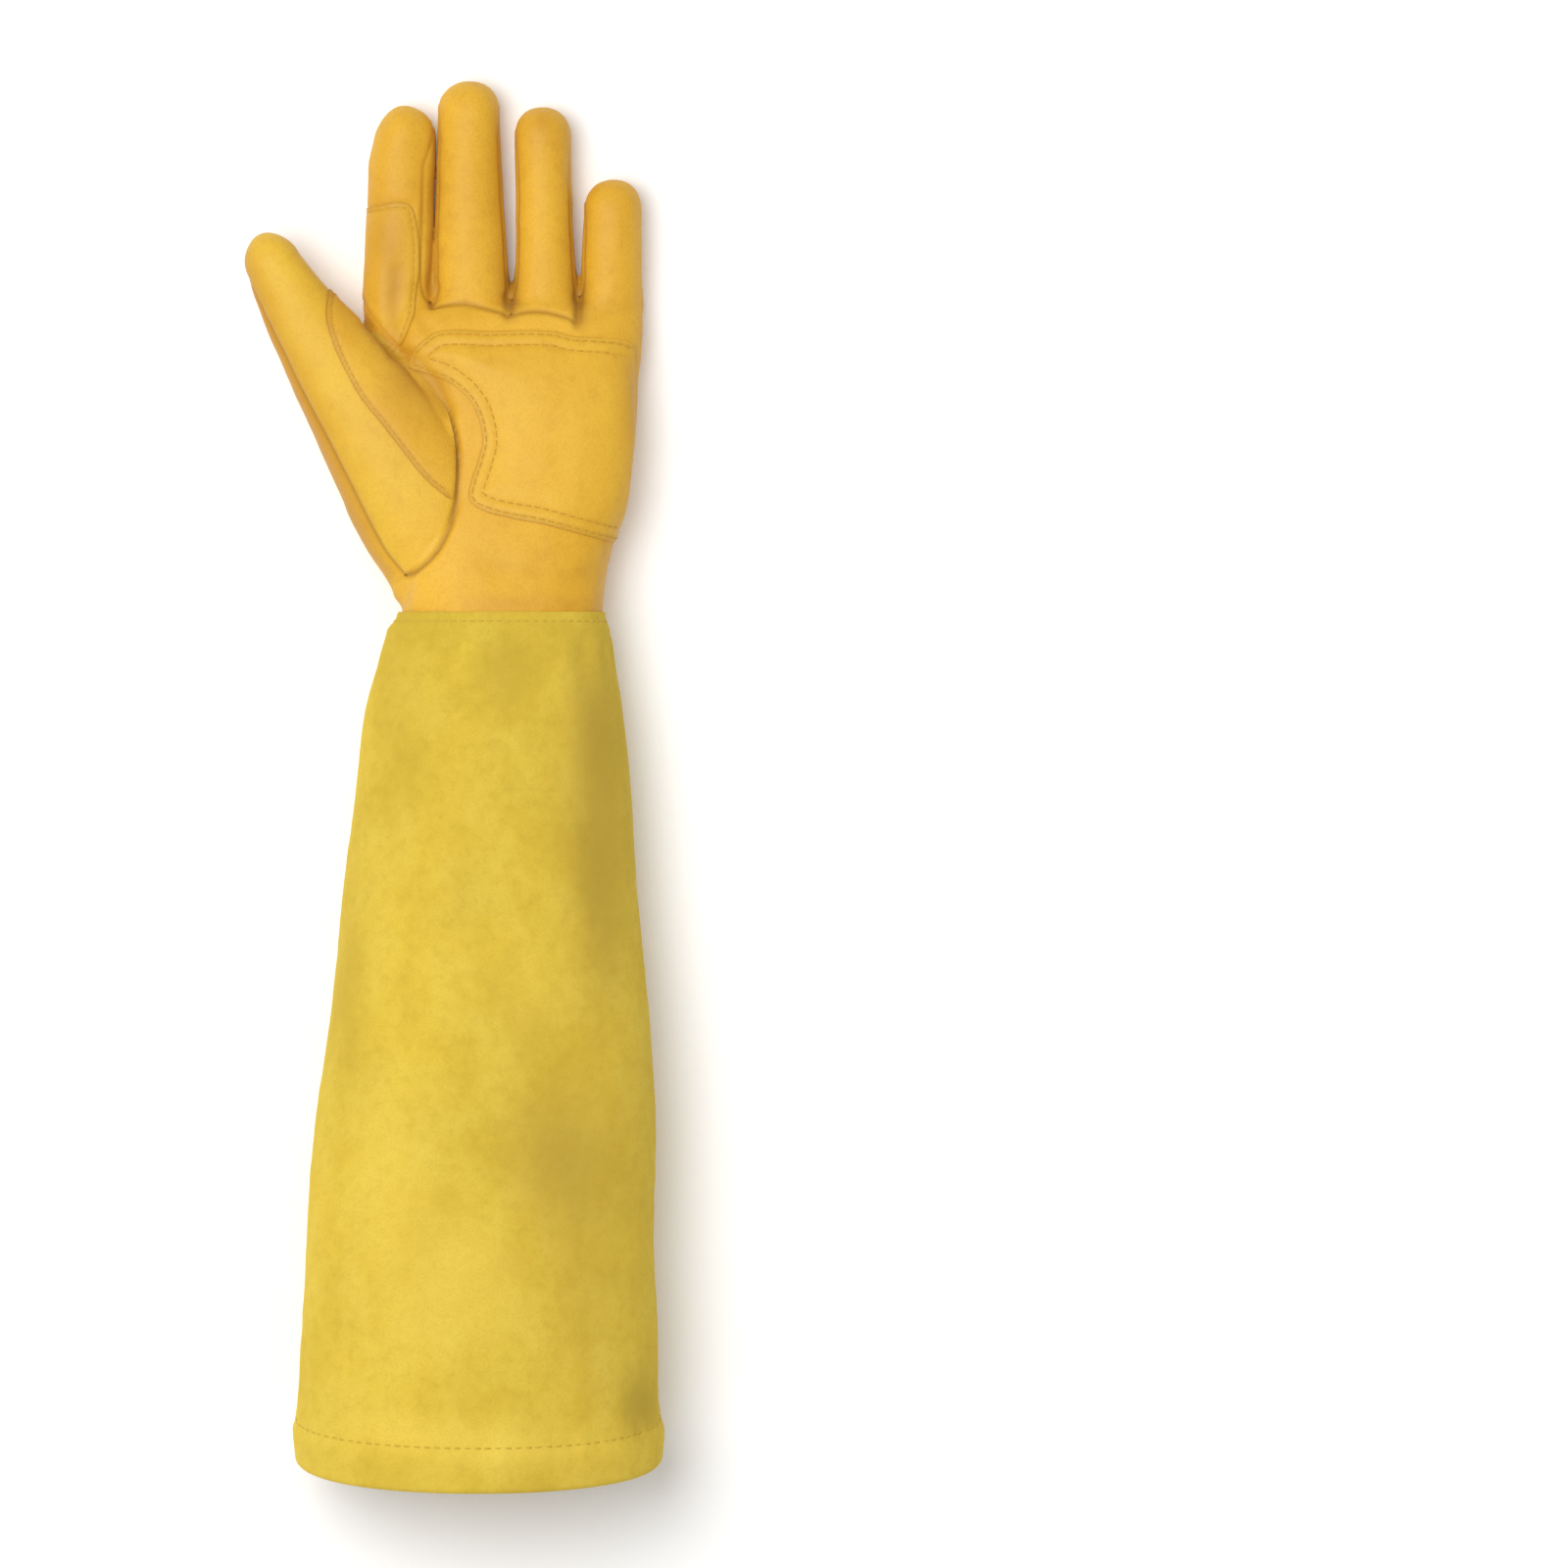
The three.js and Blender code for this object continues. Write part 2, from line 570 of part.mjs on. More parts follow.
// The strip of hand between two fingers, seen from above: one finger's side, the web and the next
// finger's side.
function gussetZone(k) {
  const [a, b] = [FINGERS[k], FINGERS[k + 1]];
  const low = 0.93 * PALM_LENGTH;
  const highA = fingerTop(a) - tipReach(a) / 2;
  const highB = fingerTop(b) - tipReach(b) / 2;
  const middle = between(k, Math.min(highA, highB));
  return [
    new THREE.Vector2(fingerAt(a, low).x, low),
    new THREE.Vector2(fingerAt(b, low).x, low),
    new THREE.Vector2(fingerAt(b, highB).x, highB),
    new THREE.Vector2(middle, highB),
    new THREE.Vector2(middle, highA),
    new THREE.Vector2(fingerAt(a, highA).x, highA),
  ];
}

function gussetCutter(k, gap) {
  const half = GUSSET_WIDTH / 2 + gap;
  const band = palmSide(-half).subtract(palmSide(half));
  return prism(grown(gussetZone(k), gap)).intersect(band);
}

// The front of a middle finger, from the seam across its root.
function fingerFrontOutline(name) {
  const k = FINGERS.findIndex((each) => each.name === name);
  const finger = FINGERS[k];
  const root = smooth(ROOT_SEAMS[name].map(onPalm), ROOT_SEAM_STEPS);
  const steps = [0.02, 0.12, 0.32, 0.62, 1.02].map((share) => PALM_LENGTH + share * lengthOf(finger));
  const right = steps.map((y) => new THREE.Vector2(between(k, y), y));
  const left = steps.map((y) => new THREE.Vector2(between(k - 1, y), y));
  return [...root, ...right, ...left.toReversed()];
}

// The thumb's front seen from above, inside the wing seam.
const thumbFrontOutline = [
  ...smooth(WING_SEAM.map(onThumb), WING_STEPS),
  ...[
    { along: 0.78, across: 0.69 },
    { along: 1.2, across: 0.69 },
    { along: 1.2, across: -0.3 },
    { along: 0.079, across: -0.3 },
  ].map(onThumb),
];

// The thumb's front above its outer side seam.
function thumbFrontCutter(gap) {
  const low = THUMB_BACK_HEIGHT * THUMB_HEIGHT;
  const height = through(THUMB_SIDE_SEAM, "height");
  const profile = THUMB_SIDE_SEAM.map(
    (row) => new THREE.Vector2(row.at * THUMB_LENGTH, height(row.at) * THUMB_HEIGHT - gap),
  );
  const reach = 0.3 * THUMB_WIDTH;
  const outerTop = above(profile, thumbStart, thumbAlong, thumbAcross, -BEYOND / 2, reach);
  const outerAll = above(
    profile.map((point) => new THREE.Vector2(point.x, -BEYOND)),
    thumbStart,
    thumbAlong,
    thumbAcross,
    -BEYOND / 2,
    reach,
  );
  return prism(grown(thumbFrontOutline, gap), low - gap).subtract(outerAll.subtract(outerTop));
}

const thumbBackOutline = [
  ...smooth(THUMB_BACK_SEAM.map(onPalm), BACK_SEAM_STEPS),
  ...[
    { along: 0.78, across: 0.69 },
    { along: 1.3, across: 0.69 },
    { along: 1.3, across: -1 },
    { along: -0.2, across: -1 },
  ].map(onThumb),
];

// The whole thumb: inside the wing seam on the palm's side, and outside the seam that joins it to
// the back of the hand on the other.
function thumbZone(gap) {
  const inWing = prism(grown(thumbFrontOutline, gap));
  const outOfBack = prism(grown(thumbBackOutline, gap));
  const above = inWing.intersect(palmSide(-gap));
  const below = outOfBack.subtract(palmSide(gap));
  return united([above, below, inWing.intersect(outOfBack)]);
}

// Second layers

// A layer of patch leather over some of the hand's solids.
function layerOver(makeSolids) {
  return united(makeSolids(SEAM_GAP + PATCH_LEATHER)).subtract(handSolid(SEAM_GAP));
}

// Where the thumb's second layer may lie: short of the wing seam, and up to the crotch.
const thumbSideOutline = [
  ...grown(thumbFrontOutline, -CROTCH_PATCH_INSET).slice(0, WING_STEPS - 6),
  ...[
    { along: 0.64, across: 0.745 },
    { along: 0.7, across: 0.7 },
    { along: 1.2, across: 0.69 },
    { along: 1.2, across: -0.3 },
    { along: 0.079, across: -0.3 },
  ].map(onThumb),
];
const thumbSide = prism(grown(thumbSideOutline, SEAM_GAP));

function palmPatch() {
  const outline = [
    ...smooth(PALM_PATCH.map(onPalm), PATCH_STEPS),
    ...smooth(PALM_PATCH_TOP.map(onPalm), PATCH_STEPS / 2),
  ];
  const layer = layerOver((grow) => [palmSolid(grow), fingerSolid(FINGERS[0], grow)]);
  return layer.intersect(prism(outline, PALM_PATCH_SIDE * PALM_DEPTH)).subtract(thumbSide);
}

function crotchPatch() {
  const outline = [
    ...smooth(CROTCH_PATCH_EDGE.map(onPalm), PATCH_STEPS / 2),
    ...[
      { across: -0.4, along: 1.2 },
      { across: 0.2, along: 1 },
      { across: 0.2, along: 0.3 },
    ].map(onPalm),
  ];
  const layer = layerOver((grow) => [palmSolid(grow), thumbSolid(grow)]);
  return layer.intersect(prism(outline)).intersect(prism(thumbSideOutline, THUMB_HEIGHT + SEAM_GAP));
}

function indexPatch() {
  const layer = layerOver((grow) => [palmSolid(grow), fingerSolid(FINGERS[0], grow)]);
  const middle = fingerAt(FINGERS[0], PALM_LENGTH).x;
  const innerSide = [
    new THREE.Vector2(middle, 0),
    new THREE.Vector2(BEYOND, 0),
    new THREE.Vector2(BEYOND, BEYOND),
    new THREE.Vector2(middle, BEYOND),
  ];
  return layer
    .intersect(prism(smooth(INDEX_PATCH.map(onPalm), PATCH_STEPS), INDEX_PATCH_LOW))
    .subtract(thumbSide)
    .subtract(prism(innerSide, -BEYOND, SIDE_HEIGHT));
}

// The sleeve

const sleeve = Object.fromEntries(
  ["left", "right", "top", "under", "side"].map((name) => [name, through(SLEEVE_ROWS, name)]),
);

// How deep the soft dents are at a place on the sleeve.
function dented(at, angle) {
  let depth = 0;
  for (const dent of SLEEVE_DENTS) {
    const turn = angle / (2 * Math.PI) - dent.around / 360;
    const apart = turn - Math.round(turn);
    const away = ((at - dent.at) / dent.along) ** 2 + (apart / dent.across) ** 2;
    depth += dent.deep * DENT_DEPTH * Math.exp(-away);
  }
  return depth;
}

function sleeveSection(at) {
  const [left, right] = [sleeve.left(at) * MOUTH_WIDTH, sleeve.right(at) * MOUTH_WIDTH];
  const side = sleeve.side(at) * MOUTH_HEIGHT;
  const leaning = THREE.MathUtils.smoothstep(at, 0.7, 1);
  return {
    centre: new THREE.Vector3((left + right) / 2, -at * SLEEVE_LENGTH, side),
    across: rowX,
    half: (right - left) / 2,
    up: sleeve.top(at) * MOUTH_HEIGHT - side,
    down: side - sleeve.under(at) * MOUTH_HEIGHT,
    roundness: SLEEVE_ROUNDNESS,
    lean: leaning * MOUTH_LEAN,
    move: (angle) => -dented(at, angle),
  };
}

// The sleeve's top edge fits round the wrist, in the palm's own form.
function cuffEdge(y, spread) {
  return ring(
    { ...palmSection(Math.min(y, 0) / PALM_LENGTH), centre: wristCentre(y), move: undefined },
    PALM_SIDES,
    SEAM_GAP + spread,
  );
}

function wristCentre(y) {
  const { centre } = palmSection(0);
  return centre.clone().setY(y);
}

function sleeveSolid() {
  const places = SLEEVE_ROWS.map((row) => row.at);
  const hemStart = 1 - HEM_WIDTH / SLEEVE_LENGTH;
  const outside = (at) => ring(sleeveSection(at), PALM_SIDES);
  const inside = (at, layers) => ring(sleeveSection(at), PALM_SIDES, -layers * SLEEVE_LEATHER);
  const outer = [cuffEdge(SLEEVE_LAP, SLEEVE_LEATHER), ...places.map(outside)];
  const inner = [
    cuffEdge(SLEEVE_LAP, 0),
    cuffEdge(-WRIST_TUCK / 2, 0),
    ...places.slice(1, -2).map((at) => inside(at, 1)),
    inside(hemStart, 1),
    inside(hemStart + 0.001, 2),
    inside(1, 2),
  ];
  return solid(wall(outer, inner));
}

// The assembly

const grain = new THREE.MeshStandardMaterial({ color: 0xe9b546, roughness: 0.55, metalness: 0 });
const patchGrain = new THREE.MeshStandardMaterial({ color: 0xe6b84c, roughness: 0.55, metalness: 0 });
const suede = new THREE.MeshStandardMaterial({ color: 0xe3c44b, roughness: 0.95, metalness: 0 });

function piece(name, made, material) {
  const { numProp, vertProperties, triVerts } = made.simplify(FINEST).getMesh();
  const geometry = new THREE.BufferGeometry()
    .setAttribute("position", new THREE.BufferAttribute(vertProperties, numProp))
    .setIndex(new THREE.BufferAttribute(triVerts, 1));
  geometry.computeVertexNormals();
  const mesh = new THREE.Mesh(geometry, material);
  mesh.name = name;
  return mesh;
}

const gauntlet = new THREE.Group();
const shell = handSolid(0).subtract(handSolid(-HAND_LEATHER));
const halfGap = SEAM_GAP / 2;
const gussets = FINGERS.slice(1).map((_, k) => k);
const front = palmSide(halfGap);
const back = palmSide(-halfGap);
const middleFronts = Object.keys(ROOT_SEAMS).map((name) => ({ name, outline: fingerFrontOutline(name) }));

const noGussets = shell.subtract(united(gussets.map((k) => gussetCutter(k, halfGap))));
const noThumb = noGussets.subtract(thumbZone(halfGap)).subtract(thumbFrontCutter(halfGap));
const fronts = noThumb.intersect(front);
const palmPanel = fronts.subtract(
  united(middleFronts.map(({ outline }) => prism(grown(outline, halfGap)))),
);

gauntlet.add(piece("palm_panel", palmPanel, grain));
for (const { name, outline } of middleFronts) {
  const made = fronts.intersect(prism(grown(outline, -halfGap)));
  gauntlet.add(piece(`${name}_finger_front`, made, grain));
}
gauntlet.add(piece("back_panel", noThumb.subtract(back), grain));
for (const k of gussets) {
  const name = `gusset_${FINGERS[k].name}_${FINGERS[k + 1].name}`;
  gauntlet.add(piece(name, shell.intersect(gussetCutter(k, -halfGap)), grain));
}
gauntlet.add(piece("thumb_panel", shell.intersect(thumbFrontCutter(-halfGap)), grain));
const thumbBack = shell.intersect(thumbZone(-halfGap)).subtract(thumbFrontCutter(halfGap));
gauntlet.add(piece("thumb_back_panel", thumbBack, grain));
gauntlet.add(piece("palm_patch", palmPatch(), patchGrain));
gauntlet.add(piece("thumb_crotch_patch", crotchPatch(), patchGrain));
gauntlet.add(piece("index_side_patch", indexPatch(), patchGrain));
gauntlet.add(piece("sleeve", sleeveSolid(), suede));

// The origin is under the middle of the whole gauntlet.
const box = new THREE.Box3().setFromObject(gauntlet);
const middle = box.getCenter(new THREE.Vector3());
gauntlet.position.set(-middle.x, -middle.y, -box.min.z);

export default gauntlet;
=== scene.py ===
import math

import bpy
import numpy as np
from mathutils.kdtree import KDTree
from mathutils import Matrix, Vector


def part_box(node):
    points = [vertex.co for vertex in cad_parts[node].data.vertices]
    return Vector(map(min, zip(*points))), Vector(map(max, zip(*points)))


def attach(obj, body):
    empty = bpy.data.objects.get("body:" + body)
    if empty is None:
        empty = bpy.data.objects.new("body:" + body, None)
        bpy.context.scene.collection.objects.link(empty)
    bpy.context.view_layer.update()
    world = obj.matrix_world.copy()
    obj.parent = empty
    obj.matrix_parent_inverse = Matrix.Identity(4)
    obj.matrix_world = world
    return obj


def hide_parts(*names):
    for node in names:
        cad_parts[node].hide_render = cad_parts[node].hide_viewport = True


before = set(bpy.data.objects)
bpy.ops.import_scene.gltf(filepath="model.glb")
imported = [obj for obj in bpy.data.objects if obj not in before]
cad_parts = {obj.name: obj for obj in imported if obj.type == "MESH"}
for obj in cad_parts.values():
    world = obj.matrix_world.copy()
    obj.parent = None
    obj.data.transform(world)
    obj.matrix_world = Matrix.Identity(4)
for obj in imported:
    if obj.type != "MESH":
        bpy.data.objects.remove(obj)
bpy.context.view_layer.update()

# The gauntlet is worked out in millimetres, in the frame that the part is drawn in: the wrist seam
# is at Y = 0, the fingers point to +Y, the thumb to -X and the palm to +Z.
MM = 0.001

# Hand
PALM_LENGTH = 110.0
PALM_WIDTH = 99.0
PALM_DEPTH = 34.0
WRIST_TUCK = 11.0
PALM_HOLLOW = 2.2
HOLLOW_AT = 0.6
HOLLOW_REACH = 0.24
SIDE_HEIGHT = 10.3
GUSSET_WIDTH = 9.0
GUSSET_TAPER = 14.0
GUSSET_START = 0.93
INDEX_GUSSET_RISE = 3.4
FINGER_GAP = 0.3
INDEX_TIP_LEAN = 2.8
FINGER_LENGTH = 79.3
FINGER_WIDTH = 24.0
FINGER_DEPTH = 22.0
FINGER_START = 0.68
FINGER_MIDDLE = 0.3
START_SLIMNESS = 0.3
START_RISE = 4.5
TIP_ROUNDING = 0.6
TIP_ROUNDNESS = 2.3
THUMB_TIP_ROUNDNESS = 1.85
THUMB_ANGLE = math.radians(24.3)
THUMB_OUT = 0.018
THUMB_LENGTH = 143.0
THUMB_WIDTH = 51.0
THUMB_DEPTH = 36.0
THUMB_HEIGHT = 22.0
PALM_ROUNDNESS = 2.5
FINGER_ROUNDNESS = 2.15
THUMB_ROUNDNESS = 2.2

# Sleeve
SLEEVE_LENGTH = 299.0
MOUTH_WIDTH = 131.5
MOUTH_HEIGHT = 78.0
MOUTH_LEAN = 11.0
SLEEVE_LAP = 1.0
SLEEVE_LEATHER = 1.8
SEAM_GAP = 0.4
HEM_WIDTH = 13.0
LAP_WIDTH = 7.5
WRIST_PINCH = 0.6
LAP_EDGE = 0.7
SLEEVE_ROUNDNESS = 2.15
DENT_DEPTH = 3.0

# at, left, right, palm, back, side
PALM_ROWS = [
    (-0.1, -0.366, 0.362, 1.31, 0.13, 0.69),
    (0.02, -0.366, 0.362, 1.31, 0.12, 0.68),
    (0.07, -0.36, 0.364, 1.28, 0.08, 0.65),
    (0.15, -0.364, 0.374, 1.23, 0.02, 0.6),
    (0.28, -0.38, 0.412, 1.15, -0.05, 0.54),
    (0.42, -0.405, 0.448, 1.08, -0.07, 0.49),
    (0.6, -0.44, 0.477, 1.02, -0.06, 0.43),
    (0.75, -0.47, 0.486, 0.95, -0.05, 0.37),
    (0.87, -0.49, 0.499, 0.86, -0.03, 0.325),
    (0.95, -0.496, 0.502, 0.76, 0.0, 0.305),
    (1.0, -0.48, 0.49, 0.64, 0.04, 0.303),
]
# root, tip, long, root wide, middle wide, tip wide, deep
FINGERS = [
    (-0.376, -0.362, 0.89, 1.0, 0.975, 0.95, 0.955),
    (-0.11, -0.115, 1.0, 1.183, 1.055, 0.87, 1.0),
    (0.156, 0.145, 0.887, 1.025, 0.871, 0.842, 0.955),
    (0.389, 0.395, 0.562, 0.958, 0.908, 0.85, 0.909),
]
# at, outer, inner, deep, height
THUMB_ROWS = [
    (0.0, 0.06, 0.5, 0.5, 0.9),
    (0.06, 0.006, 0.84, 0.82, 0.88),
    (0.23, 0.0, 0.98, 1.0, 0.93),
    (0.455, 0.0, 0.86, 0.92, 0.98),
    (0.685, 0.002, 0.64, 0.76, 1.0),
    (0.785, 0.005, 0.535, 0.66, 1.0),
    (0.86, 0.015, 0.47, 0.6, 1.0),
    (0.915, 0.035, 0.43, 0.55, 1.0),
]
# at, left, right, top, under, side
SLEEVE_ROWS = [
    (0.025, -0.316, 0.291, 0.606, 0.02, 0.3),
    (0.055, -0.336, 0.3, 0.618, 0.0, 0.303),
    (0.117, -0.371, 0.323, 0.662, -0.02, 0.315),
    (0.235, -0.405, 0.345, 0.734, -0.035, 0.345),
    (0.35, -0.439, 0.366, 0.792, -0.045, 0.375),
    (0.465, -0.471, 0.391, 0.846, -0.05, 0.4),
    (0.58, -0.502, 0.407, 0.888, -0.05, 0.42),
    (0.7, -0.523, 0.409, 0.925, -0.05, 0.44),
    (0.815, -0.535, 0.416, 0.955, -0.05, 0.455),
    (0.93, -0.55, 0.429, 0.985, -0.05, 0.47),
    (0.97, -0.56, 0.44, 1.0, -0.05, 0.47),
    (1.0, -0.554, 0.434, 0.99, -0.05, 0.47),
]
# at, around in degrees, deep, along, across
SLEEVE_DENTS = [
    (0.3, 38, 0.87, 0.13, 0.05),
    (0.6, 62, 1.0, 0.1, 0.055),
    (0.72, 128, 0.6, 0.12, 0.06),
    (0.93, 26, 0.8, 0.05, 0.035),
    (0.2, 140, 0.5, 0.1, 0.06),
    (0.45, 168, 0.73, 0.12, 0.06),
]
# Seams and patch outlines: along and across on the thumb, or across and along on the palm
WING_SEAM = [
    (0.074, 0.15), (0.079, 0.275), (0.099, 0.439), (0.136, 0.583), (0.182, 0.7), (0.233, 0.784),
    (0.285, 0.851), (0.349, 0.904), (0.423, 0.922), (0.509, 0.853), (0.612, 0.759), (0.688, 0.647),
]
THUMB_OUTSIDE = [(0.78, 0.69), (1.2, 0.69), (1.2, -0.3), (0.074, -0.3)]
THUMB_SIDE_SEAM = [
    (-0.2, 1.445), (0.06, 1.445), (0.35, 1.47), (0.585, 1.38), (0.75, 1.29), (0.88, 1.1), (0.95, 0.88),
    (1.0, 0.84), (1.3, 0.84),
]
THUMB_BACK_HEIGHT = 0.84
THUMB_SIDE = 0.3
THUMB_BACK_SEAM = [
    (-0.31, -0.13), (-0.318, 0.0), (-0.343, 0.129), (-0.385, 0.45), (-0.44, 0.75), (-0.49, 0.939),
]
THUMB_BACK_OUTSIDE = [(0.78, 0.69), (1.3, 0.69), (1.3, -1.0), (-0.2, -1.0)]
ROOT_SEAMS = {
    1: [(-0.25, 0.995), (-0.158, 1.006), (-0.084, 0.996), (0.02, 0.968)],
    2: [(0.02, 0.968), (0.105, 0.981), (0.172, 0.977), (0.24, 0.958), (0.285, 0.938)],
}
PALM_PATCH = [
    (-0.325, 0.85), (-0.336, 0.8), (-0.26, 0.777), (-0.193, 0.752), (-0.129, 0.705), (-0.09, 0.648),
    (-0.07, 0.567), (-0.084, 0.505), (-0.115, 0.415), (-0.118, 0.372), (-0.077, 0.34), (0.014, 0.315),
    (0.143, 0.293), (0.273, 0.262), (0.378, 0.24), (0.6, 0.2),
]
PALM_PATCH_TOP = [
    (0.6, 0.865), (0.494, 0.87), (0.403, 0.889), (0.255, 0.898), (0.189, 0.913), (0.088, 0.917),
    (-0.042, 0.914), (-0.21, 0.917), (-0.27, 0.892), (-0.325, 0.85),
]
PALM_PATCH_SIDE = 0.56
CROTCH_PATCH_EDGE = [
    (-0.18, 0.365), (-0.277, 0.441), (-0.354, 0.526), (-0.427, 0.612), (-0.501, 0.694), (-0.561, 0.788),
    (-0.606, 0.879), (-0.63, 0.965), (-0.62, 1.06),
]
CROTCH_PATCH_REST = [(-0.4, 1.2), (0.2, 1.0), (0.2, 0.3)]
CROTCH_PATCH_INSET = 1.5
CROTCH_OUTSIDE = [(0.64, 0.745), (0.7, 0.7), (1.2, 0.69), (1.2, -0.3), (0.079, -0.3)]
INDEX_PATCH = [
    (-0.65, 1.3), (-0.483, 1.315), (-0.382, 1.33), (-0.329, 1.321), (-0.308, 1.27), (-0.298, 1.188),
    (-0.298, 1.066), (-0.322, 0.952), (-0.37, 0.868), (-0.42, 0.89), (-0.46, 0.945), (-0.51, 0.99),
    (-0.65, 1.02),
]
INDEX_PATCH_LOW = 1.0
INDEX_PATCH_INSET = 0.5

# Fineness: sizes in millimetres, counts and rounds of smoothing
VOXEL = 0.8
SKIN_ROUNDS = 12
ROOT_ROUNDS = 45
PALM_RINGS = 56
PALM_SIDES = 120
FINGER_STEP = 3.0
FINGER_SIDES = 64
THUMB_RINGS = 48
THUMB_SIDES = 96
TIP_RINGS = 12
SLEEVE_STEP = 1.5
SLEEVE_SIDES = 224

# Leather, and how far the insides stay above the floor
PANEL_LEATHER = 1.5
HAND_CLEARANCE = 0.9
SLEEVE_CLEARANCE = 1.2

sleeve_low, sleeve_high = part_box("sleeve")
widest_left, widest_right = SLEEVE_ROWS[-2][1:3]
OFFSET = np.array([
    (sleeve_low.x + sleeve_high.x) / 2 / MM - (widest_left + widest_right) * MOUTH_WIDTH / 2,
    sleeve_high.y / MM - SLEEVE_LAP,
    0.0,
])


# Curves, noise and other fields


def through(rows, column):
    """A smooth curve through one column of a table whose rows are placed by their first value."""
    x = np.array([row[0] for row in rows], float)
    y = np.array([row[column] for row in rows], float)
    before = np.maximum(np.arange(len(x)) - 1, 0)
    after = np.minimum(np.arange(len(x)) + 1, len(x) - 1)
    slope = (y[after] - y[before]) / (x[after] - x[before])

    def value(at):
        at = np.clip(np.asarray(at, float), x[0], x[-1])
        i = np.clip(np.searchsorted(x, at, side="right") - 1, 0, len(x) - 2)
        step = x[i + 1] - x[i]
        t = (at - x[i]) / step
        ends = y[i] * (1 + 2 * t) * (1 - t) ** 2 + y[i + 1] * t * t * (3 - 2 * t)
        return ends + step * t * (1 - t) * (slope[i] * (1 - t) - slope[i + 1] * t)

    return value


thumb_along = np.array([-math.sin(THUMB_ANGLE), math.cos(THUMB_ANGLE)])
thumb_across = np.array([math.cos(THUMB_ANGLE), math.sin(THUMB_ANGLE)])
thumb_start = np.array([(PALM_ROWS[1][1] - THUMB_OUT) * PALM_WIDTH, 0.0])


def on_palm(points):
    return np.array([(across * PALM_WIDTH, along * PALM_LENGTH) for across, along in points])


def on_thumb(points):
    points = np.array(points, float)
    along = points[:, :1] * THUMB_LENGTH
    across = points[:, 1:] * THUMB_WIDTH
    return thumb_start + along * thumb_along + across * thumb_across


def smooth_line(points, steps):
    """A smooth curve through points."""
    points = np.asarray(points, float)
    last = len(points) - 1
    out = []
    for share in np.linspace(0, last, steps + 1):
        i = min(int(share), last - 1)
        t = share - i
        p0 = points[max(i - 1, 0)]
        p1, p2 = points[i], points[i + 1]
        p3 = points[min(i + 2, last)]
        v0, v1 = (p2 - p0) / 2, (p3 - p1) / 2
        out.append(
            (2 * p1 - 2 * p2 + v0 + v1) * t**3
            + (-3 * p1 + 3 * p2 - 2 * v0 - v1) * t**2
            + v0 * t
            + p1
        )
    return np.array(out)


def smoothstep(x, low, high):
    t = np.clip((np.asarray(x, float) - low) / (high - low), 0, 1)
    return t * t * (3 - 2 * t)


def bump(x, reach):
    return np.exp(-((np.asarray(x, float) / reach) ** 2))


def unit(vectors):
    return vectors / np.maximum(np.linalg.norm(vectors, axis=-1, keepdims=True), 1e-12)


def lattice_noise(points, size, seed):
    """Smooth noise from -1 to 1 with features of the given size."""
    table = np.random.default_rng(seed).random(4096) * 2 - 1
    p = np.asarray(points, float) / size
    cell = np.floor(p).astype(np.int64)
    part = p - cell
    ease = part * part * (3 - 2 * part)
    total = 0
    for corner in range(8):
        pick = np.array([corner & 1, (corner >> 1) & 1, (corner >> 2) & 1])
        at = cell + pick
        key = (at[:, 0] * 73856093) ^ (at[:, 1] * 19349663) ^ (at[:, 2] * 83492791)
        weight = np.prod(np.where(pick, ease, 1 - ease), axis=1)
        total = total + table[key % 4096] * weight
    return total


def layered_noise(points, layers):
    """Sums of smooth noises. layers: height, size, factor on Y, which stretches it, and seed."""
    return sum(
        height * lattice_noise(points * (1, factor, 1), size, seed)
        for height, size, factor, seed in layers
    )


def spots(points, table):
    """Sums of soft spots. table: x, y, reach across and along in millimetres, and amount."""
    total = np.zeros(len(points))
    for x, y, across, along, amount in table:
        total += amount * bump(points[:, 0] - x, across) * bump(points[:, 1] - y, along)
    return total


# Meshes


def rounded_section(angle, half, up, down, roundness):
    """Offsets sideways and upwards of an oval that is squarer with more roundness above 2."""
    c, s = np.cos(angle), np.sin(angle)
    power = 2 / roundness
    sideways = np.sign(c) * np.abs(c) ** power * half
    return sideways, np.sign(s) * np.abs(s) ** power * np.where(s > 0, up, down)


def ring(centre, across, half, up, down, roundness, sides, shrink=1.0):
    angle = np.linspace(0, 2 * np.pi, sides, endpoint=False)
    sideways, height = (shrink * part for part in rounded_section(angle, half, up, down, roundness))
    return np.column_stack([
        centre[0] + across[0] * sideways,
        centre[1] + across[1] * sideways,
        np.maximum(centre[2] + height, 0),
    ])


def between_rings(i, j, sides):
    """Four-sided faces between two rings of points, which are given by their numbers."""
    k = np.arange(sides)
    nxt = np.roll(k, -1)
    return np.column_stack([i * sides + k, j * sides + k, j * sides + nxt, i * sides + nxt])


def closed_loft(rings):
    """Points and triangles of a closed skin over rings."""
    sides = len(rings[0])
    points = np.vstack([*rings, rings[0].mean(0), rings[-1].mean(0)])
    faces = []
    for i in range(len(rings) - 1):
        quads = between_rings(i, i + 1, sides)
        faces += [quads[:, :3], quads[:, [0, 2, 3]]]
    k = np.arange(sides)
    nxt = np.roll(k, -1)
    last = (len(rings) - 1) * sides
    middle = np.full(sides, len(rings) * sides)
    faces.append(np.column_stack([middle, k, nxt]))
    faces.append(np.column_stack([middle + 1, last + nxt, last + k]))
    return points, np.vstack(faces)


def placed(name, data):
    """A new object in the scene."""
    obj = bpy.data.objects.new(name, data)
    bpy.context.scene.collection.objects.link(obj)
    return obj


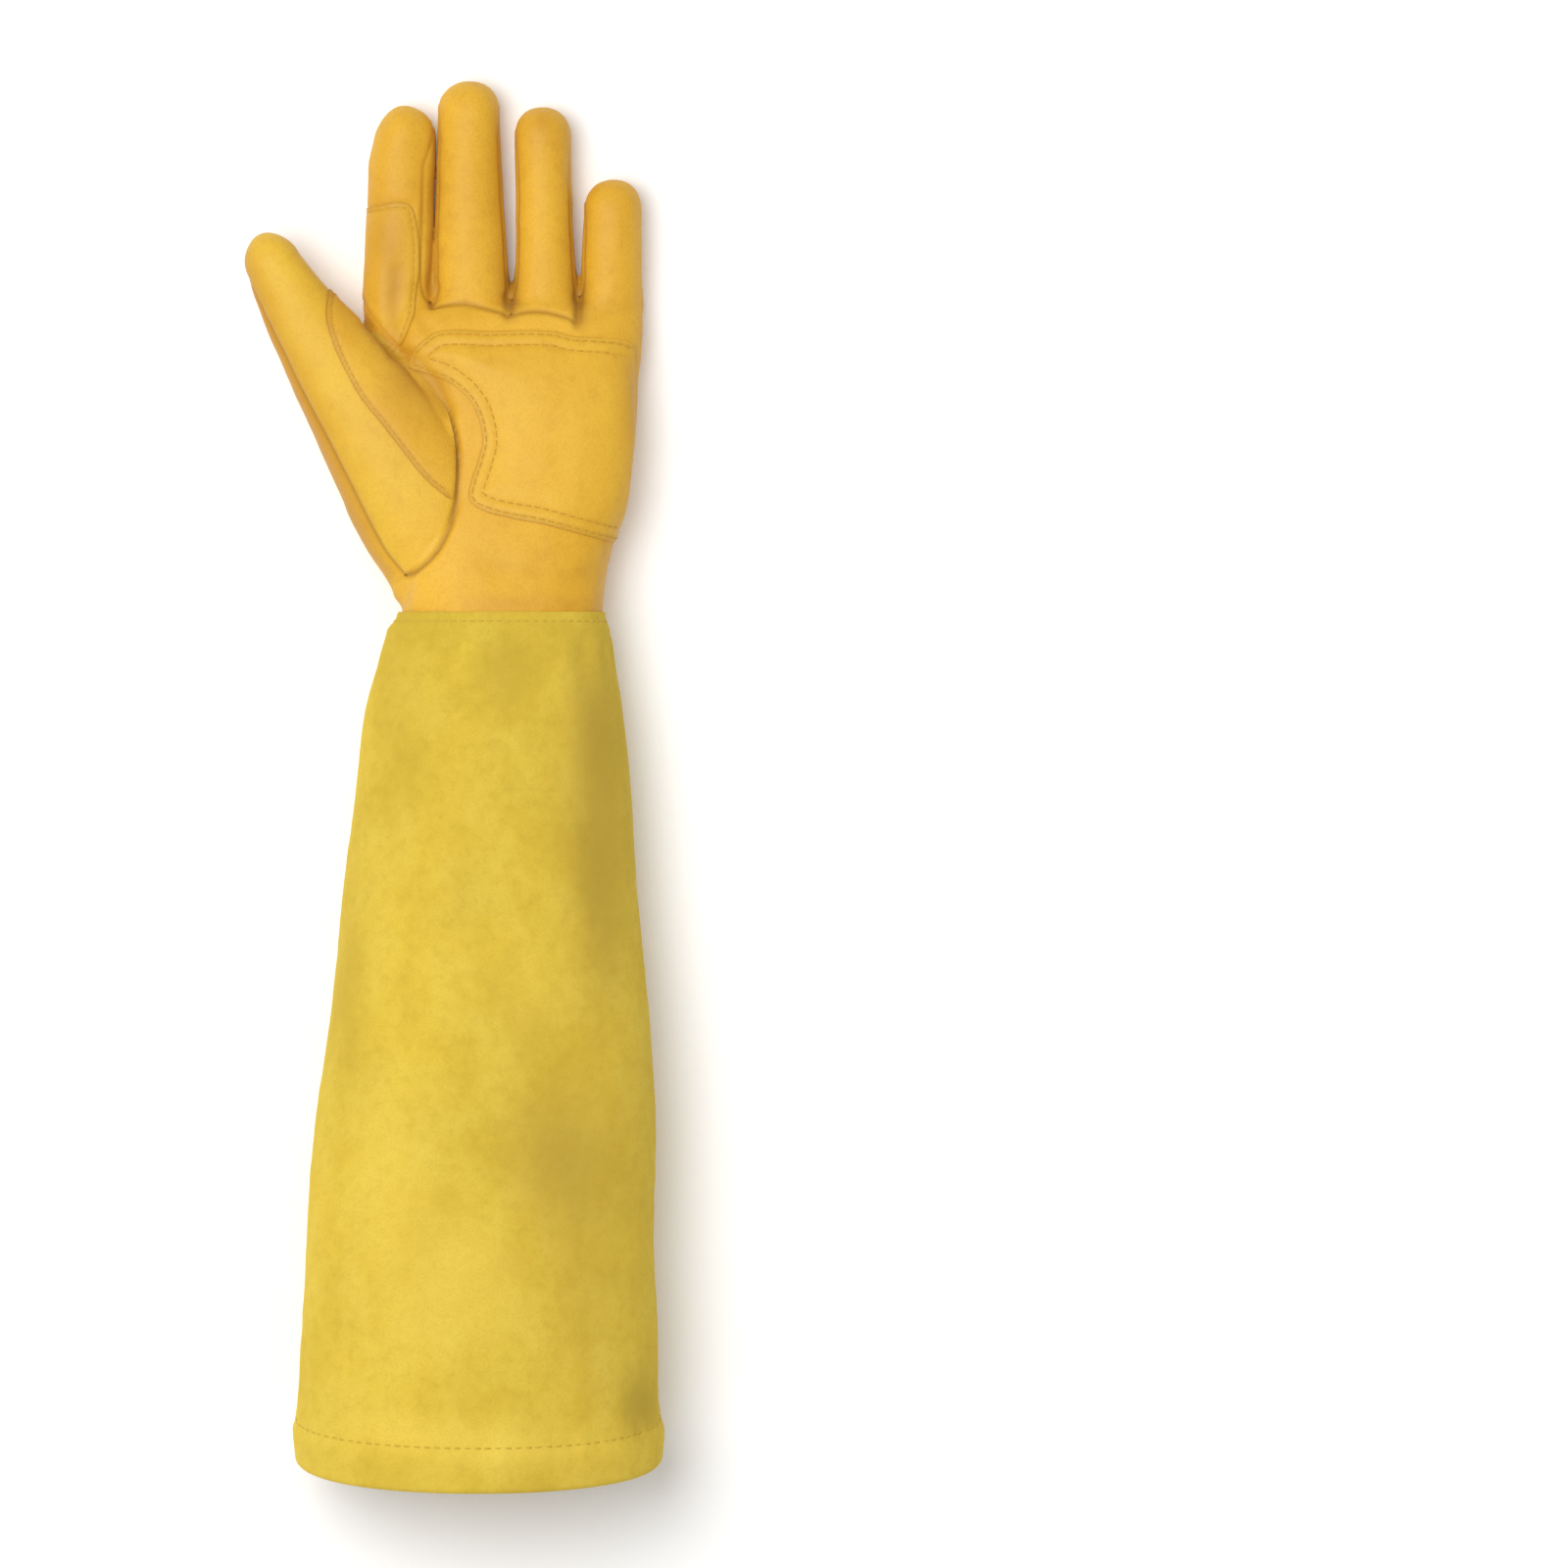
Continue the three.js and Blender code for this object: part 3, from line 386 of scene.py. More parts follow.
def add_piece(name, points, faces, material, nodes, sharp=35, shades=None):
    """A piece from points in millimetres in the drawing's frame, with numbers for its points."""
    mesh = bpy.data.meshes.new(name)
    moved = (np.asarray(points) + OFFSET) * MM
    faces = np.asarray(faces)
    size = faces.shape[1]
    mesh.vertices.add(len(moved))
    mesh.vertices.foreach_set("co", moved.astype(np.float32).ravel())
    mesh.loops.add(faces.size)
    mesh.loops.foreach_set("vertex_index", faces.astype(np.int32).ravel())
    mesh.polygons.add(len(faces))
    mesh.polygons.foreach_set("loop_start", np.arange(0, faces.size, size, dtype=np.int32))
    mesh.update(calc_edges=True)
    mesh.validate()
    mesh.polygons.foreach_set("use_smooth", np.ones(len(mesh.polygons), bool))
    mesh.set_sharp_from_angle(angle=math.radians(sharp))
    obj = placed(name, mesh)
    mesh.materials.append(material)
    for label, values in (shades or {}).items():
        numbers = mesh.attributes.new(label, "FLOAT", "POINT").data
        numbers.foreach_set("value", values.astype(np.float32))
    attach(obj, "root")
    if nodes:
        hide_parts(*nodes)
    return obj


def sides_of(tris):
    """The three sides of each triangle, in its own direction."""
    return np.vstack([tris[:, [0, 1]], tris[:, [1, 2]], tris[:, [2, 0]]])


def edges_of(tris):
    return np.unique(np.sort(sides_of(tris), axis=1), axis=0)


def evened(points, tris, factors, weight=1.0):
    """Numbers on points moved towards the mean of their neighbours, or away, by each factor in turn."""
    edges = edges_of(tris)
    neighbours = np.bincount(edges.ravel(), minlength=len(points))[:, None]
    points = points.copy()
    for factor in factors:
        total = np.zeros_like(points)
        for k in range(points.shape[1]):
            total[:, k] = np.bincount(edges[:, 0], points[edges[:, 1], k], len(points))
            total[:, k] += np.bincount(edges[:, 1], points[edges[:, 0], k], len(points))
        points += weight * factor * (total / neighbours - points)
    return points


def remeshed(parts, voxel, rounds):
    """The outer skin round overlapping closed parts, as points and triangles in millimetres."""
    points, faces, start = [], [], 0
    for p, f in parts:
        points.append(p)
        faces.append(f + start)
        start += len(p)
    mesh = bpy.data.meshes.new("form")
    mesh.from_pydata(np.vstack(points).tolist(), [], np.vstack(faces).tolist())
    obj = placed("form", mesh)
    modifier = obj.modifiers.new("skin", "REMESH")
    modifier.mode = "VOXEL"
    modifier.voxel_size = voxel
    ready = obj.evaluated_get(bpy.context.evaluated_depsgraph_get()).to_mesh()
    ready.calc_loop_triangles()
    out = np.empty(len(ready.vertices) * 3, np.float32)
    ready.vertices.foreach_get("co", out)
    tris = np.empty(len(ready.loop_triangles) * 3, np.int32)
    ready.loop_triangles.foreach_get("vertices", tris)
    bpy.data.objects.remove(obj)
    bpy.data.meshes.remove(mesh)
    out, tris = out.reshape(-1, 3).astype(float), tris.reshape(-1, 3)
    return evened(out, tris, (0.5, -0.52) * rounds), tris


def normals_of(points, tris):
    a, b, c = (points[tris[:, k]] for k in range(3))
    cross = np.cross(b - a, c - a)
    out = np.zeros_like(points)
    for k in range(3):
        for axis in range(3):
            out[:, axis] += np.bincount(tris[:, k], cross[:, axis], len(points))
    return unit(out)


def clip(values, tris, field):
    """The part of a mesh where a field is above 0. values: one row of numbers for each point."""
    inside = field > 0
    count = inside[tris].sum(1)
    out = [tris[count == 3]]
    keys, made = [], []
    size = len(values)
    for wanted in (1, 2):
        mixed = tris[count == wanted]
        lone = np.argmax(inside[mixed] if wanted == 1 else ~inside[mixed], axis=1)
        turned = mixed[np.arange(len(mixed))[:, None], (lone[:, None] + np.arange(3)) % 3]
        made.append(turned)
        for k in (1, 2):
            keys.append(np.sort(turned[:, [0, k]], axis=1))
    unique, where = np.unique(np.vstack(keys), axis=0, return_inverse=True)
    where = where.ravel() + size
    share = field[unique[:, 0]] / (field[unique[:, 0]] - field[unique[:, 1]])
    extra = values[unique[:, 0]] + share[:, None] * (values[unique[:, 1]] - values[unique[:, 0]])
    n1, n2 = len(made[0]), len(made[1])
    ab1, ac1 = where[:n1], where[n1 : 2 * n1]
    ab2, ac2 = where[2 * n1 : 2 * n1 + n2], where[2 * n1 + n2 :]
    out.append(np.column_stack([made[0][:, 0], ab1, ac1]))
    out.append(np.column_stack([ab2, made[1][:, 1], made[1][:, 2]]))
    out.append(np.column_stack([ab2, made[1][:, 2], ac2]))
    tris = np.vstack(out)
    used, tris = np.unique(tris, return_inverse=True)
    return np.vstack([values, extra])[used], tris.reshape(-1, 3)


def largest(values, tris):
    """The largest connected piece of a mesh."""
    parent = np.arange(len(values))
    changed = True
    while changed:
        low = parent[tris].min(1)
        new = parent.copy()
        for k in range(3):
            np.minimum.at(new, tris[:, k], low)
        new = new[new]
        changed = bool((new != parent).any())
        parent = new
    label = parent[tris[:, 0]]
    kept = tris[label == np.bincount(label).argmax()]
    used, kept = np.unique(kept, return_inverse=True)
    return values[used], kept.reshape(-1, 3)


def thickened(outer, inner, tris):
    """A closed mesh between two sheets that share their triangles."""
    size = len(outer)
    edges = sides_of(tris)
    forward = edges[:, 0].astype(np.int64) * size + edges[:, 1]
    back = edges[:, 1].astype(np.int64) * size + edges[:, 0]
    rim = edges[~np.isin(forward, back)]
    a, b = rim[:, 0], rim[:, 1]
    faces = np.vstack([
        tris,
        tris[:, ::-1] + size,
        np.column_stack([b, a, a + size]),
        np.column_stack([b, a + size, b + size]),
    ])
    return np.vstack([outer, inner]), faces


def line_distance(xy, line):
    """Distance to an open line seen from above."""
    best = np.full(len(xy), np.inf)
    for a, b in zip(line[:-1], line[1:]):
        edge = b - a
        t = np.clip(((xy - a) @ edge) / max(float(edge @ edge), 1e-12), 0, 1)
        away = xy - a - t[:, None] * edge
        best = np.minimum(best, (away**2).sum(1))
    return np.sqrt(best)


def outline_distance(xy, outline):
    """Distance to a closed outline seen from above, above 0 inside it."""
    closed = np.vstack([outline, outline[:1]])
    inside = np.zeros(len(xy), bool)
    for a, b in zip(closed[:-1], closed[1:]):
        if a[1] != b[1]:
            crosses = (a[1] > xy[:, 1]) != (b[1] > xy[:, 1])
            at = a[0] + (xy[:, 1] - a[1]) * (b[0] - a[0]) / (b[1] - a[1])
            inside ^= crosses & (xy[:, 0] < at)
    return np.where(inside, 1, -1) * line_distance(xy, closed)


# The hand's form


def curves(rows, names):
    return {name: through(rows, i + 1) for i, name in enumerate(names.split())}


palm = curves(PALM_ROWS, "left right palm back side")
thumb = curves(THUMB_ROWS, "outer inner deep height")
side_line = through(THUMB_SIDE_SEAM, 1)


def palm_section(at):
    left, right = palm["left"](at) * PALM_WIDTH, palm["right"](at) * PALM_WIDTH
    side = palm["side"](at) * PALM_DEPTH
    hollow = PALM_HOLLOW * bump(at - HOLLOW_AT, HOLLOW_REACH)
    up = palm["palm"](at) * PALM_DEPTH - side - hollow
    down = side - palm["back"](at) * PALM_DEPTH
    return (left + right) / 2, (right - left) / 2, side, up, down


def palm_loft():
    rings = []
    for at in np.linspace(-WRIST_TUCK / PALM_LENGTH, 1, PALM_RINGS):
        x, half, side, up, down = palm_section(at)
        centre = (x, at * PALM_LENGTH, side)
        rings.append(ring(centre, (1, 0), half, up, down, PALM_ROUNDNESS, PALM_SIDES))
    return closed_loft(rings)


def finger_length(finger):
    return finger[2] * FINGER_LENGTH


def tip_reach(finger):
    return finger[5] * FINGER_WIDTH * TIP_ROUNDING


def finger_at(finger, y):
    straight = finger_length(finger) - tip_reach(finger)
    at = np.clip((y - PALM_LENGTH) / straight, 0, 1)
    slimmer = np.clip((y - PALM_LENGTH) / ((FINGER_START - 1) * PALM_LENGTH), 0, 1)
    wide = through([(0, finger[3]), (FINGER_MIDDLE, finger[4]), (1, finger[5])], 1)(at)
    size = 1 - START_SLIMNESS * slimmer
    x = (finger[0] + (finger[1] - finger[0]) * at) * PALM_WIDTH
    half = size * wide * FINGER_WIDTH / 2
    return x, half, size * finger[6] * FINGER_DEPTH / 2, SIDE_HEIGHT + START_RISE * slimmer


def rounded_tip(centre, forward, across, half, deep, reach, roundness, sides, tip=TIP_ROUNDNESS):
    rings = []
    power = 2 / tip
    for angle in np.linspace(0, math.pi / 2, TIP_RINGS)[1:-1]:
        centre_now = centre + forward * reach * math.sin(angle) ** power
        shrink = math.cos(angle) ** power
        rings.append(ring(centre_now, across, half, deep, deep, roundness, sides, shrink))
    return rings


def finger_loft(finger):
    tip_start = PALM_LENGTH + finger_length(finger) - tip_reach(finger)
    rings = []
    for y in np.arange(FINGER_START * PALM_LENGTH, tip_start, FINGER_STEP).tolist() + [tip_start]:
        x, half, deep, z = finger_at(finger, y)
        rings.append(ring((x, y, z), (1, 0), half, deep, deep, FINGER_ROUNDNESS, FINGER_SIDES))
    centre = np.array([x, tip_start, z])
    forward = np.array([0, 1.0, 0])
    rings += rounded_tip(
        centre, forward, (1, 0), half, deep, tip_reach(finger), FINGER_ROUNDNESS, FINGER_SIDES
    )
    return closed_loft(rings)


def thumb_loft():
    rings = []
    for at in np.linspace(0, THUMB_ROWS[-1][0], THUMB_RINGS):
        outer, inner = thumb["outer"](at), thumb["inner"](at)
        middle = on_thumb([(at, (outer + inner) / 2)])[0]
        centre = np.array([middle[0], middle[1], thumb["height"](at) * THUMB_HEIGHT])
        half = (inner - outer) / 2 * THUMB_WIDTH
        deep = thumb["deep"](at) * THUMB_DEPTH / 2
        rings.append(ring(centre, thumb_across, half, deep, deep, THUMB_ROUNDNESS, THUMB_SIDES))
    reach = (1 - THUMB_ROWS[-1][0]) * THUMB_LENGTH
    forward = np.array([thumb_along[0], thumb_along[1], 0])
    rings += rounded_tip(
        centre, forward, thumb_across, half, deep, reach, THUMB_ROUNDNESS, THUMB_SIDES,
        THUMB_TIP_ROUNDNESS,
    )
    return closed_loft(rings)


hand, hand_tris = remeshed(
    [palm_loft(), thumb_loft(), *(finger_loft(finger) for finger in FINGERS)], VOXEL, SKIN_ROUNDS
)
at_roots = bump(hand[:, 1] - PALM_LENGTH, 6)[:, None] * (hand[:, 2:] > SIDE_HEIGHT)
hand = evened(hand, hand_tris, (0.5,) * ROOT_ROUNDS, at_roots)
hand_normals = normals_of(hand, hand_tris)
xy = hand[:, :2]
hand_x, hand_y, height = hand.T


# Where the seams run, as fields over the hand


def side_height(y):
    return np.where(y > PALM_LENGTH, SIDE_HEIGHT, palm["side"](y / PALM_LENGTH) * PALM_DEPTH)


wing_seam = smooth_line(on_thumb(WING_SEAM), 60)
front_outline = np.vstack([wing_seam, on_thumb(THUMB_OUTSIDE)])
back_outline = np.vstack([smooth_line(on_palm(THUMB_BACK_SEAM), 40), on_thumb(THUMB_BACK_OUTSIDE)])

palm_side = height - side_height(hand_y)
in_wing = outline_distance(xy, front_outline)
in_back = outline_distance(xy, back_outline)
thumb_zone = np.maximum.reduce([
    np.minimum(in_wing, palm_side),
    np.minimum(in_back, -palm_side),
    np.minimum(in_wing, in_back),
])
from_start = xy - thumb_start
on_along = from_start @ thumb_along / THUMB_LENGTH
on_across = from_start @ thumb_across / THUMB_WIDTH
seam_height = np.where(on_across < THUMB_SIDE, side_line(on_along), THUMB_BACK_HEIGHT) * THUMB_HEIGHT
thumb_front = np.minimum(in_wing, height - seam_height)


def between(k, y):
    xa, half_a, _, _ = finger_at(FINGERS[k], y)
    xb, half_b, _, _ = finger_at(FINGERS[k + 1], y)
    return (xa + half_a + xb - half_b) / 2


def gusset_field(k):
    a, b = FINGERS[k], FINGERS[k + 1]
    low = GUSSET_START * PALM_LENGTH
    high_a = PALM_LENGTH + finger_length(a) - tip_reach(a) / 2
    high_b = PALM_LENGTH + finger_length(b) - tip_reach(b) / 2
    middle = between(k, min(high_a, high_b))
    outline = np.array([
        (finger_at(a, low)[0], low),
        (finger_at(b, low)[0], low),
        (finger_at(b, high_b)[0], high_b),
        (middle, high_b),
        (middle, high_a),
        (finger_at(a, high_a)[0], high_a),
    ])
    end = np.where(hand_x < middle, high_a, high_b)
    taper = np.sqrt(np.clip((end - hand_y) / GUSSET_TAPER, 0, 1))
    upper = np.full(len(hand), GUSSET_WIDTH / 2)
    if k == 0:
        on_index = smoothstep(between(0, hand_y) - hand_x, -0.8, 0.8)
        upper += INDEX_GUSSET_RISE * on_index * smoothstep(hand_y, PALM_LENGTH - 6, PALM_LENGTH + 14)
    within = np.minimum(upper * taper - palm_side, palm_side + GUSSET_WIDTH / 2 * taper)
    return np.minimum(outline_distance(xy, outline), within)


# Places along a finger where the edges of its front are taken, as shares of its length
FRONT_STEPS = np.array([0.02, 0.12, 0.32, 0.62, 1.02])


def finger_front_field(k):
    root = on_palm(ROOT_SEAMS[k])
    root[0, 0], root[-1, 0] = between(k - 1, root[0, 1]), between(k, root[-1, 1])
    places = PALM_LENGTH + FRONT_STEPS * finger_length(FINGERS[k])
    right = [(between(k, y), y) for y in places]
    left = [(between(k - 1, y), y) for y in places[::-1]]
    return outline_distance(xy, np.vstack([smooth_line(root, 30), right, left]))


gussets = [gusset_field(k) for k in range(3)]
in_gusset = np.maximum.reduce(gussets)
middle_front = finger_front_field(1)
ring_front = finger_front_field(2)
fields = {
    "palm_panel": np.minimum.reduce([
        palm_side, -thumb_zone, -thumb_front, -middle_front, -ring_front, -in_gusset
    ]),
    "middle_finger_front": np.minimum.reduce([palm_side, middle_front, -in_gusset]),
    "ring_finger_front": np.minimum.reduce([palm_side, ring_front, -in_gusset]),
    "back_panel": np.minimum.reduce([-palm_side, -thumb_zone, -thumb_front, -in_gusset]),
    "gusset_index_middle": gussets[0],
    "gusset_middle_ring": gussets[1],
    "gusset_ring_little": gussets[2],
    "thumb_panel": thumb_front,
    "thumb_back_panel": np.minimum(thumb_zone, -thumb_front),
}
# Each point belongs to the panel whose field is highest there
stack = evened(np.column_stack(list(fields.values())), hand_tris, (0.5,) * 5).T
labels = np.argmax(stack, axis=0)


# depth and half width of the groove in millimetres, how much painted shade darkens its bottom, and the
# share of it all that is lost, in a fold or out at a fingertip, from one place to another along an axis
SEAM_KINDS = {
    "wing": (1.15, 1.3, 0.62, 0.72, 1, 66, 80),
    "thumb side": (0.85, 1.35, 0.4, 0, 1, 0, 1),
    "thumb back": (0.6, 1.2, 0.35, 0.85, 2, 6, 16),
    "root": (0.7, 1.3, 0.5, 0, 1, 0, 1),
    "gusset": (0.45, 1.1, 0.3, 0.55, 1, 140, 176),
    "side": (0.42, 1.0, 0.26, 0, 1, 0, 1),
}
# How far a seam reaches, how high the leather swells beside it, how many half widths away that is,
# and its own half width
SEAM_REACH = 8.0
SEAM_SWELL = 0.2
SWELL_AWAY = 2.6
SWELL_REACH = 1.3
panel_names = list(fields)


def seam_kind(a, b):
    pair = {panel_names[a], panel_names[b]}
    if any(name.startswith("gusset") for name in pair):
        return "gusset"
    if pair == {"thumb_panel", "thumb_back_panel"}:
        return "thumb side"
    if "thumb_panel" in pair:
        return "wing"
    if "thumb_back_panel" in pair:
        return "thumb back"
    if "palm_panel" in pair and "back_panel" not in pair:
        return "root"
    return "side"


def seam_lines():
    """Places where the edges between panels run over the hand, by kind."""
    edges = edges_of(hand_tris)
    edges = edges[labels[edges[:, 0]] != labels[edges[:, 1]]]
    a, b = edges.T
    ahead_a = stack[labels[a], a] - stack[labels[b], a]
    ahead_b = stack[labels[a], b] - stack[labels[b], b]
    share = np.clip(ahead_a / np.maximum(ahead_a - ahead_b, 1e-9), 0, 1)
    place = hand[a] + share[:, None] * (hand[b] - hand[a])
    kinds = np.array([seam_kind(i, j) for i, j in zip(labels[a], labels[b])])
    return {kind: place[kinds == kind] for kind in SEAM_KINDS}


def nearest(points, cloud, most):
    """Distance to the nearest of some places, and which it is."""
    tree = KDTree(len(cloud))
    for i, place in enumerate(cloud):
        tree.insert(place, i)
    tree.balance()
    low, high = cloud.min(0) - most, cloud.max(0) + most
    near = np.all((points > low) & (points < high), axis=1)
    away, which = np.full(len(points), most), np.zeros(len(points), int)
    for i in np.flatnonzero(near):
        _, index, distance = tree.find(points[i])
        if distance < most:
            away[i], which[i] = distance, index
    return away, which


# Grooves along the seams, with painted shade darkening their bottoms
groove, seam_painted_shade = np.zeros(len(hand)), np.zeros(len(hand))
for kind, places in seam_lines().items():
    depth, reach, shade, lost, axis, low, high = SEAM_KINDS[kind]
    away, which = nearest(hand, places, SEAM_REACH)
    here = (1 - lost * smoothstep(places[:, axis], low, high))[which]
    groove = np.maximum(groove, depth * here * bump(away, reach))
    groove -= SEAM_SWELL * here * bump(away - SWELL_AWAY * reach, SWELL_REACH) * (away < SEAM_REACH)
    seam_painted_shade = np.maximum(seam_painted_shade, shade * here * bump(away, 0.72 * reach))


def calm(values):
    """Numbers on the hand's points, smoothed along its surface."""
    return evened(values[:, None], hand_tris, (0.5,) * 6)[:, 0]


# The wing seam to just past its innermost point, then a straighter line along the thumb
WING_POINTS = 46
thumb_side_outline = np.vstack([wing_seam[:WING_POINTS], on_thumb(CROTCH_OUTSIDE)])
# The index patch lies flush in the finger's side
INDEX_SINK = 0.8
index_outline = smooth_line(on_palm([*INDEX_PATCH, INDEX_PATCH[0]]), 90)
index_x = finger_at(FINGERS[0], PALM_LENGTH)[0]
index_edge = outline_distance(xy, index_outline)
index_away = calm(np.minimum.reduce([
    index_edge,
    -outline_distance(xy, thumb_side_outline) - INDEX_PATCH_INSET,
    height - INDEX_PATCH_LOW,
    np.maximum(height - SIDE_HEIGHT, index_x - hand_x),
]))

# Soft relief of the worn leather: height, size, factor on Y and seed
HAND_NOISE = [(0.34, 17, 1, 3), (0.16, 7, 1, 4), (0.05, 2.6, 1, 5)]
# Folds where the thumb and fingers bend: a line across the palm as shares of its sizes, then depth
# and half width in millimetres
FOLDS = [
    ([(-0.19, 0.66), (-0.235, 0.735), (-0.3, 0.82), (-0.376, 0.85)], 1.7, 3.0),
    ([(-0.36, 0.84), (-0.42, 0.88), (-0.48, 0.93)], 1.2, 3.0),
    ([(-0.27, 0.93), (-0.31, 0.98), (-0.3, 1.06)], 0.8, 2.6),
    ([(-0.372, 0.9), (-0.385, 1.0), (-0.38, 1.1)], 1.1, 4.2),
    ([(0.3, 0.95), (0.38, 0.985), (0.46, 0.99)], 0.7, 3.0),
    ([(-0.42, 1.32), (-0.38, 1.33), (-0.33, 1.32)], 0.45, 2.2),
    ([(0.017, 1.03), (0.018, 0.965)], 1.1, 1.5),
    ([(0.27, 1.03), (0.272, 0.935)], 1.0, 1.5),
    ([(-0.242, 1.06), (-0.25, 1.0)], 0.9, 1.5),
    ([(-0.1, 0.2), (0.02, 0.15), (0.18, 0.13)], 0.35, 6.0),
    ([(0.1, 0.07), (0.22, 0.09), (0.33, 0.15)], 0.3, 4.0),
]
# Spots of painted light and shade: lighter and yellower where the lamp falls on the hand, darker where
# it is in shade. x, y, reach across and along in millimetres, and a tone from -1, darker, to 1, lighter
# and yellower
PAINTED_LIGHT_ON_HAND = [
    (-26, 16, 16, 22, 0.7),
    (3, 52, 22, 20, 0.4),
    (2, 104, 34, 5, 0.45),
    (-38, 112, 5, 15, -0.5),
    (-41, 134, 8, 12, -0.45),
    (-35, 107, 4, 6, 0.45),
    (22, 104, 14, 4, 0.45),
    (-34, 82, 9, 15, -0.4),
    (-22, 79, 6, 9, -0.3),
    (45, 74, 6, 32, -0.4),
    (47, 124, 4, 24, 0.4),
    (14, 174, 6, 8, -0.3),
    (-1, 122, 4, 14, -0.15),
    (-4, 4, 40, 3, -0.35),
]
# How much painted shade a fold gets for each millimetre of its depth
FOLD_SHADE = 0.12
relief = layered_noise(hand, HAND_NOISE)
relief -= INDEX_SINK * smoothstep(index_away, -1.5, 2.5)
# Painted shade in the folds and between the fingers
fold_painted_shade = np.zeros(len(hand))
on_front = smoothstep(palm_side, -2, 6)
for line, depth, reach in FOLDS:
    away = line_distance(xy, smooth_line(on_palm(line), 12))
    relief -= depth * bump(away, reach) * on_front
    fold_painted_shade = np.maximum(fold_painted_shade, FOLD_SHADE * depth * bump(away, 0.8 * reach) * on_front)
# Spots of painted light and shade, on the palm side only
tone = spots(hand, PAINTED_LIGHT_ON_HAND) * on_front
# The thumb's outer side lies in shade
tone -= 0.6 * bump(on_across, 0.14) * smoothstep(thumb_zone, -1, 2) * on_front
# Painted shade between the fingers. shade, from and to along Y, half width
VALLEYS = [(0.42, 110, 174, 2.0), (0.62, 102, 122, 2.8), (0.62, 100, 120, 2.8)]
for k, (shade, low, high, reach) in enumerate(VALLEYS):
    valley = smoothstep(hand_y, low, low + 6) * (1 - smoothstep(hand_y, high - 6, high + 6))
    valley *= bump(hand_x - between(k, hand_y), reach) * smoothstep(palm_side, -9, -3)
    fold_painted_shade = np.maximum(fold_painted_shade, shade * valley)
# The heel of the hand is pinched in beside the wrist
HEEL_PINCH = 2.5
heel_side = bump(hand_y - 11, 9) * smoothstep(hand_y, -2, 6) * smoothstep(-hand_x, 29, 38)
relief -= HEEL_PINCH * heel_side
# The index and middle fingers meet at their roots
MOST_CLOSING = 1.2
x_index, half_index = finger_at(FINGERS[0], hand_y)[:2]
x_middle, half_middle = finger_at(FINGERS[1], hand_y)[:2]
gap = np.maximum((x_middle - half_middle) - (x_index + half_index) - FINGER_GAP, 0) / 2
closing = np.minimum(gap, MOST_CLOSING) * bump(hand_x - between(0, hand_y), 4.5)
relief += closing * smoothstep(hand_y, PALM_LENGTH, PALM_LENGTH + 12)
# An elastic at the back of the wrist gathers it in pleats
ELASTIC_AT = 7.5
PLEAT_DEPTH = 1.15
PLEAT_SPACING = 6.3
at_back = np.clip(-palm_side / 12, 0, 1)
elastic = bump(hand_y - ELASTIC_AT, 3.8) + 0.35 * bump(hand_y - 2 * ELASTIC_AT, 7)
pleats = np.cos(hand_x * 2 * math.pi / PLEAT_SPACING + 1.5 * np.sin(hand_x / 9)) - 0.3
relief += PLEAT_DEPTH * elastic * at_back * pleats
relief -= 0.8 * bump(hand_y - ELASTIC_AT, 1.4) * at_back

soft_hand = hand + hand_normals * relief[:, None]
# The index fingertip leans towards the middle finger
index_lean = smoothstep(hand_y, 158, 180) * smoothstep(-hand_x, 30, 46)
soft_hand[:, 0] += INDEX_TIP_LEAN * index_lean
soft_normals = normals_of(soft_hand, hand_tris)
# The sleeve's edge pinches the wrist
pinched = WRIST_PINCH * bump(hand_y - 0.5, 4.0)
skin = soft_hand - soft_normals * (groove + pinched)[:, None]
skin[:, 2] = np.maximum(skin[:, 2], 0)
skin_normals = normals_of(skin, hand_tris)
lining = skin - skin_normals * PANEL_LEATHER
lining[:, 2] = np.maximum(lining[:, 2], HAND_CLEARANCE)


# Materials


def feed(tree, socket, value):
    """Links an output to a socket, or gives the socket a plain value."""
    if hasattr(value, "is_linked"):
        tree.links.new(value, socket)
    else:
        socket.default_value = value


def node(tree, kind, *ordered, **named):
    """A node whose settings are named, and its inputs too with in_ ahead, or else given in order."""
    made = tree.nodes.new(kind)
    for name, value in named.items():
        if name.startswith("in_"):
            feed(tree, made.inputs[name[3:].replace("_", " ")], value)
        else:
            setattr(made, name, value)
    for socket, value in zip(made.inputs, ordered):
        feed(tree, socket, value)
    return made


def srgb(*values):
    """A colour from values of 0 to 255 as a screen shows them."""
    linear = [v / 255 / 12.92 if v <= 10 else ((v / 255 + 0.055) / 1.055) ** 2.4 for v in values]
    return (*linear, 1.0)


def mixed(tree, factor, a, b):
    made = node(tree, "ShaderNodeMix", data_type="RGBA")
    for k, value in ((0, factor), (6, a), (7, b)):
        feed(tree, made.inputs[k], value)
    return made.outputs[2]


def ramp(tree, source, *stops):
    made = node(tree, "ShaderNodeValToRGB", source)
    elements = made.color_ramp.elements
    while len(elements) < len(stops):
        elements.new(0.5)
    for element, (place, value) in zip(elements, stops):
        element.position = place
        element.color = (value, value, value, 1)
    return made.outputs[0]


def noise_of(tree, place, scale, detail=3.0, roughness=0.55, stretch=None):
    if stretch:
        place = node(tree, "ShaderNodeMapping", in_Vector=place, in_Scale=stretch).outputs["Vector"]
    made = node(
        tree, "ShaderNodeTexNoise", in_Vector=place, in_Scale=scale, in_Detail=detail,
        in_Roughness=roughness,
    )
    return made.outputs["Fac"]


def math_node(tree, operation, a, b):
    return node(tree, "ShaderNodeMath", a, b, operation=operation).outputs[0]


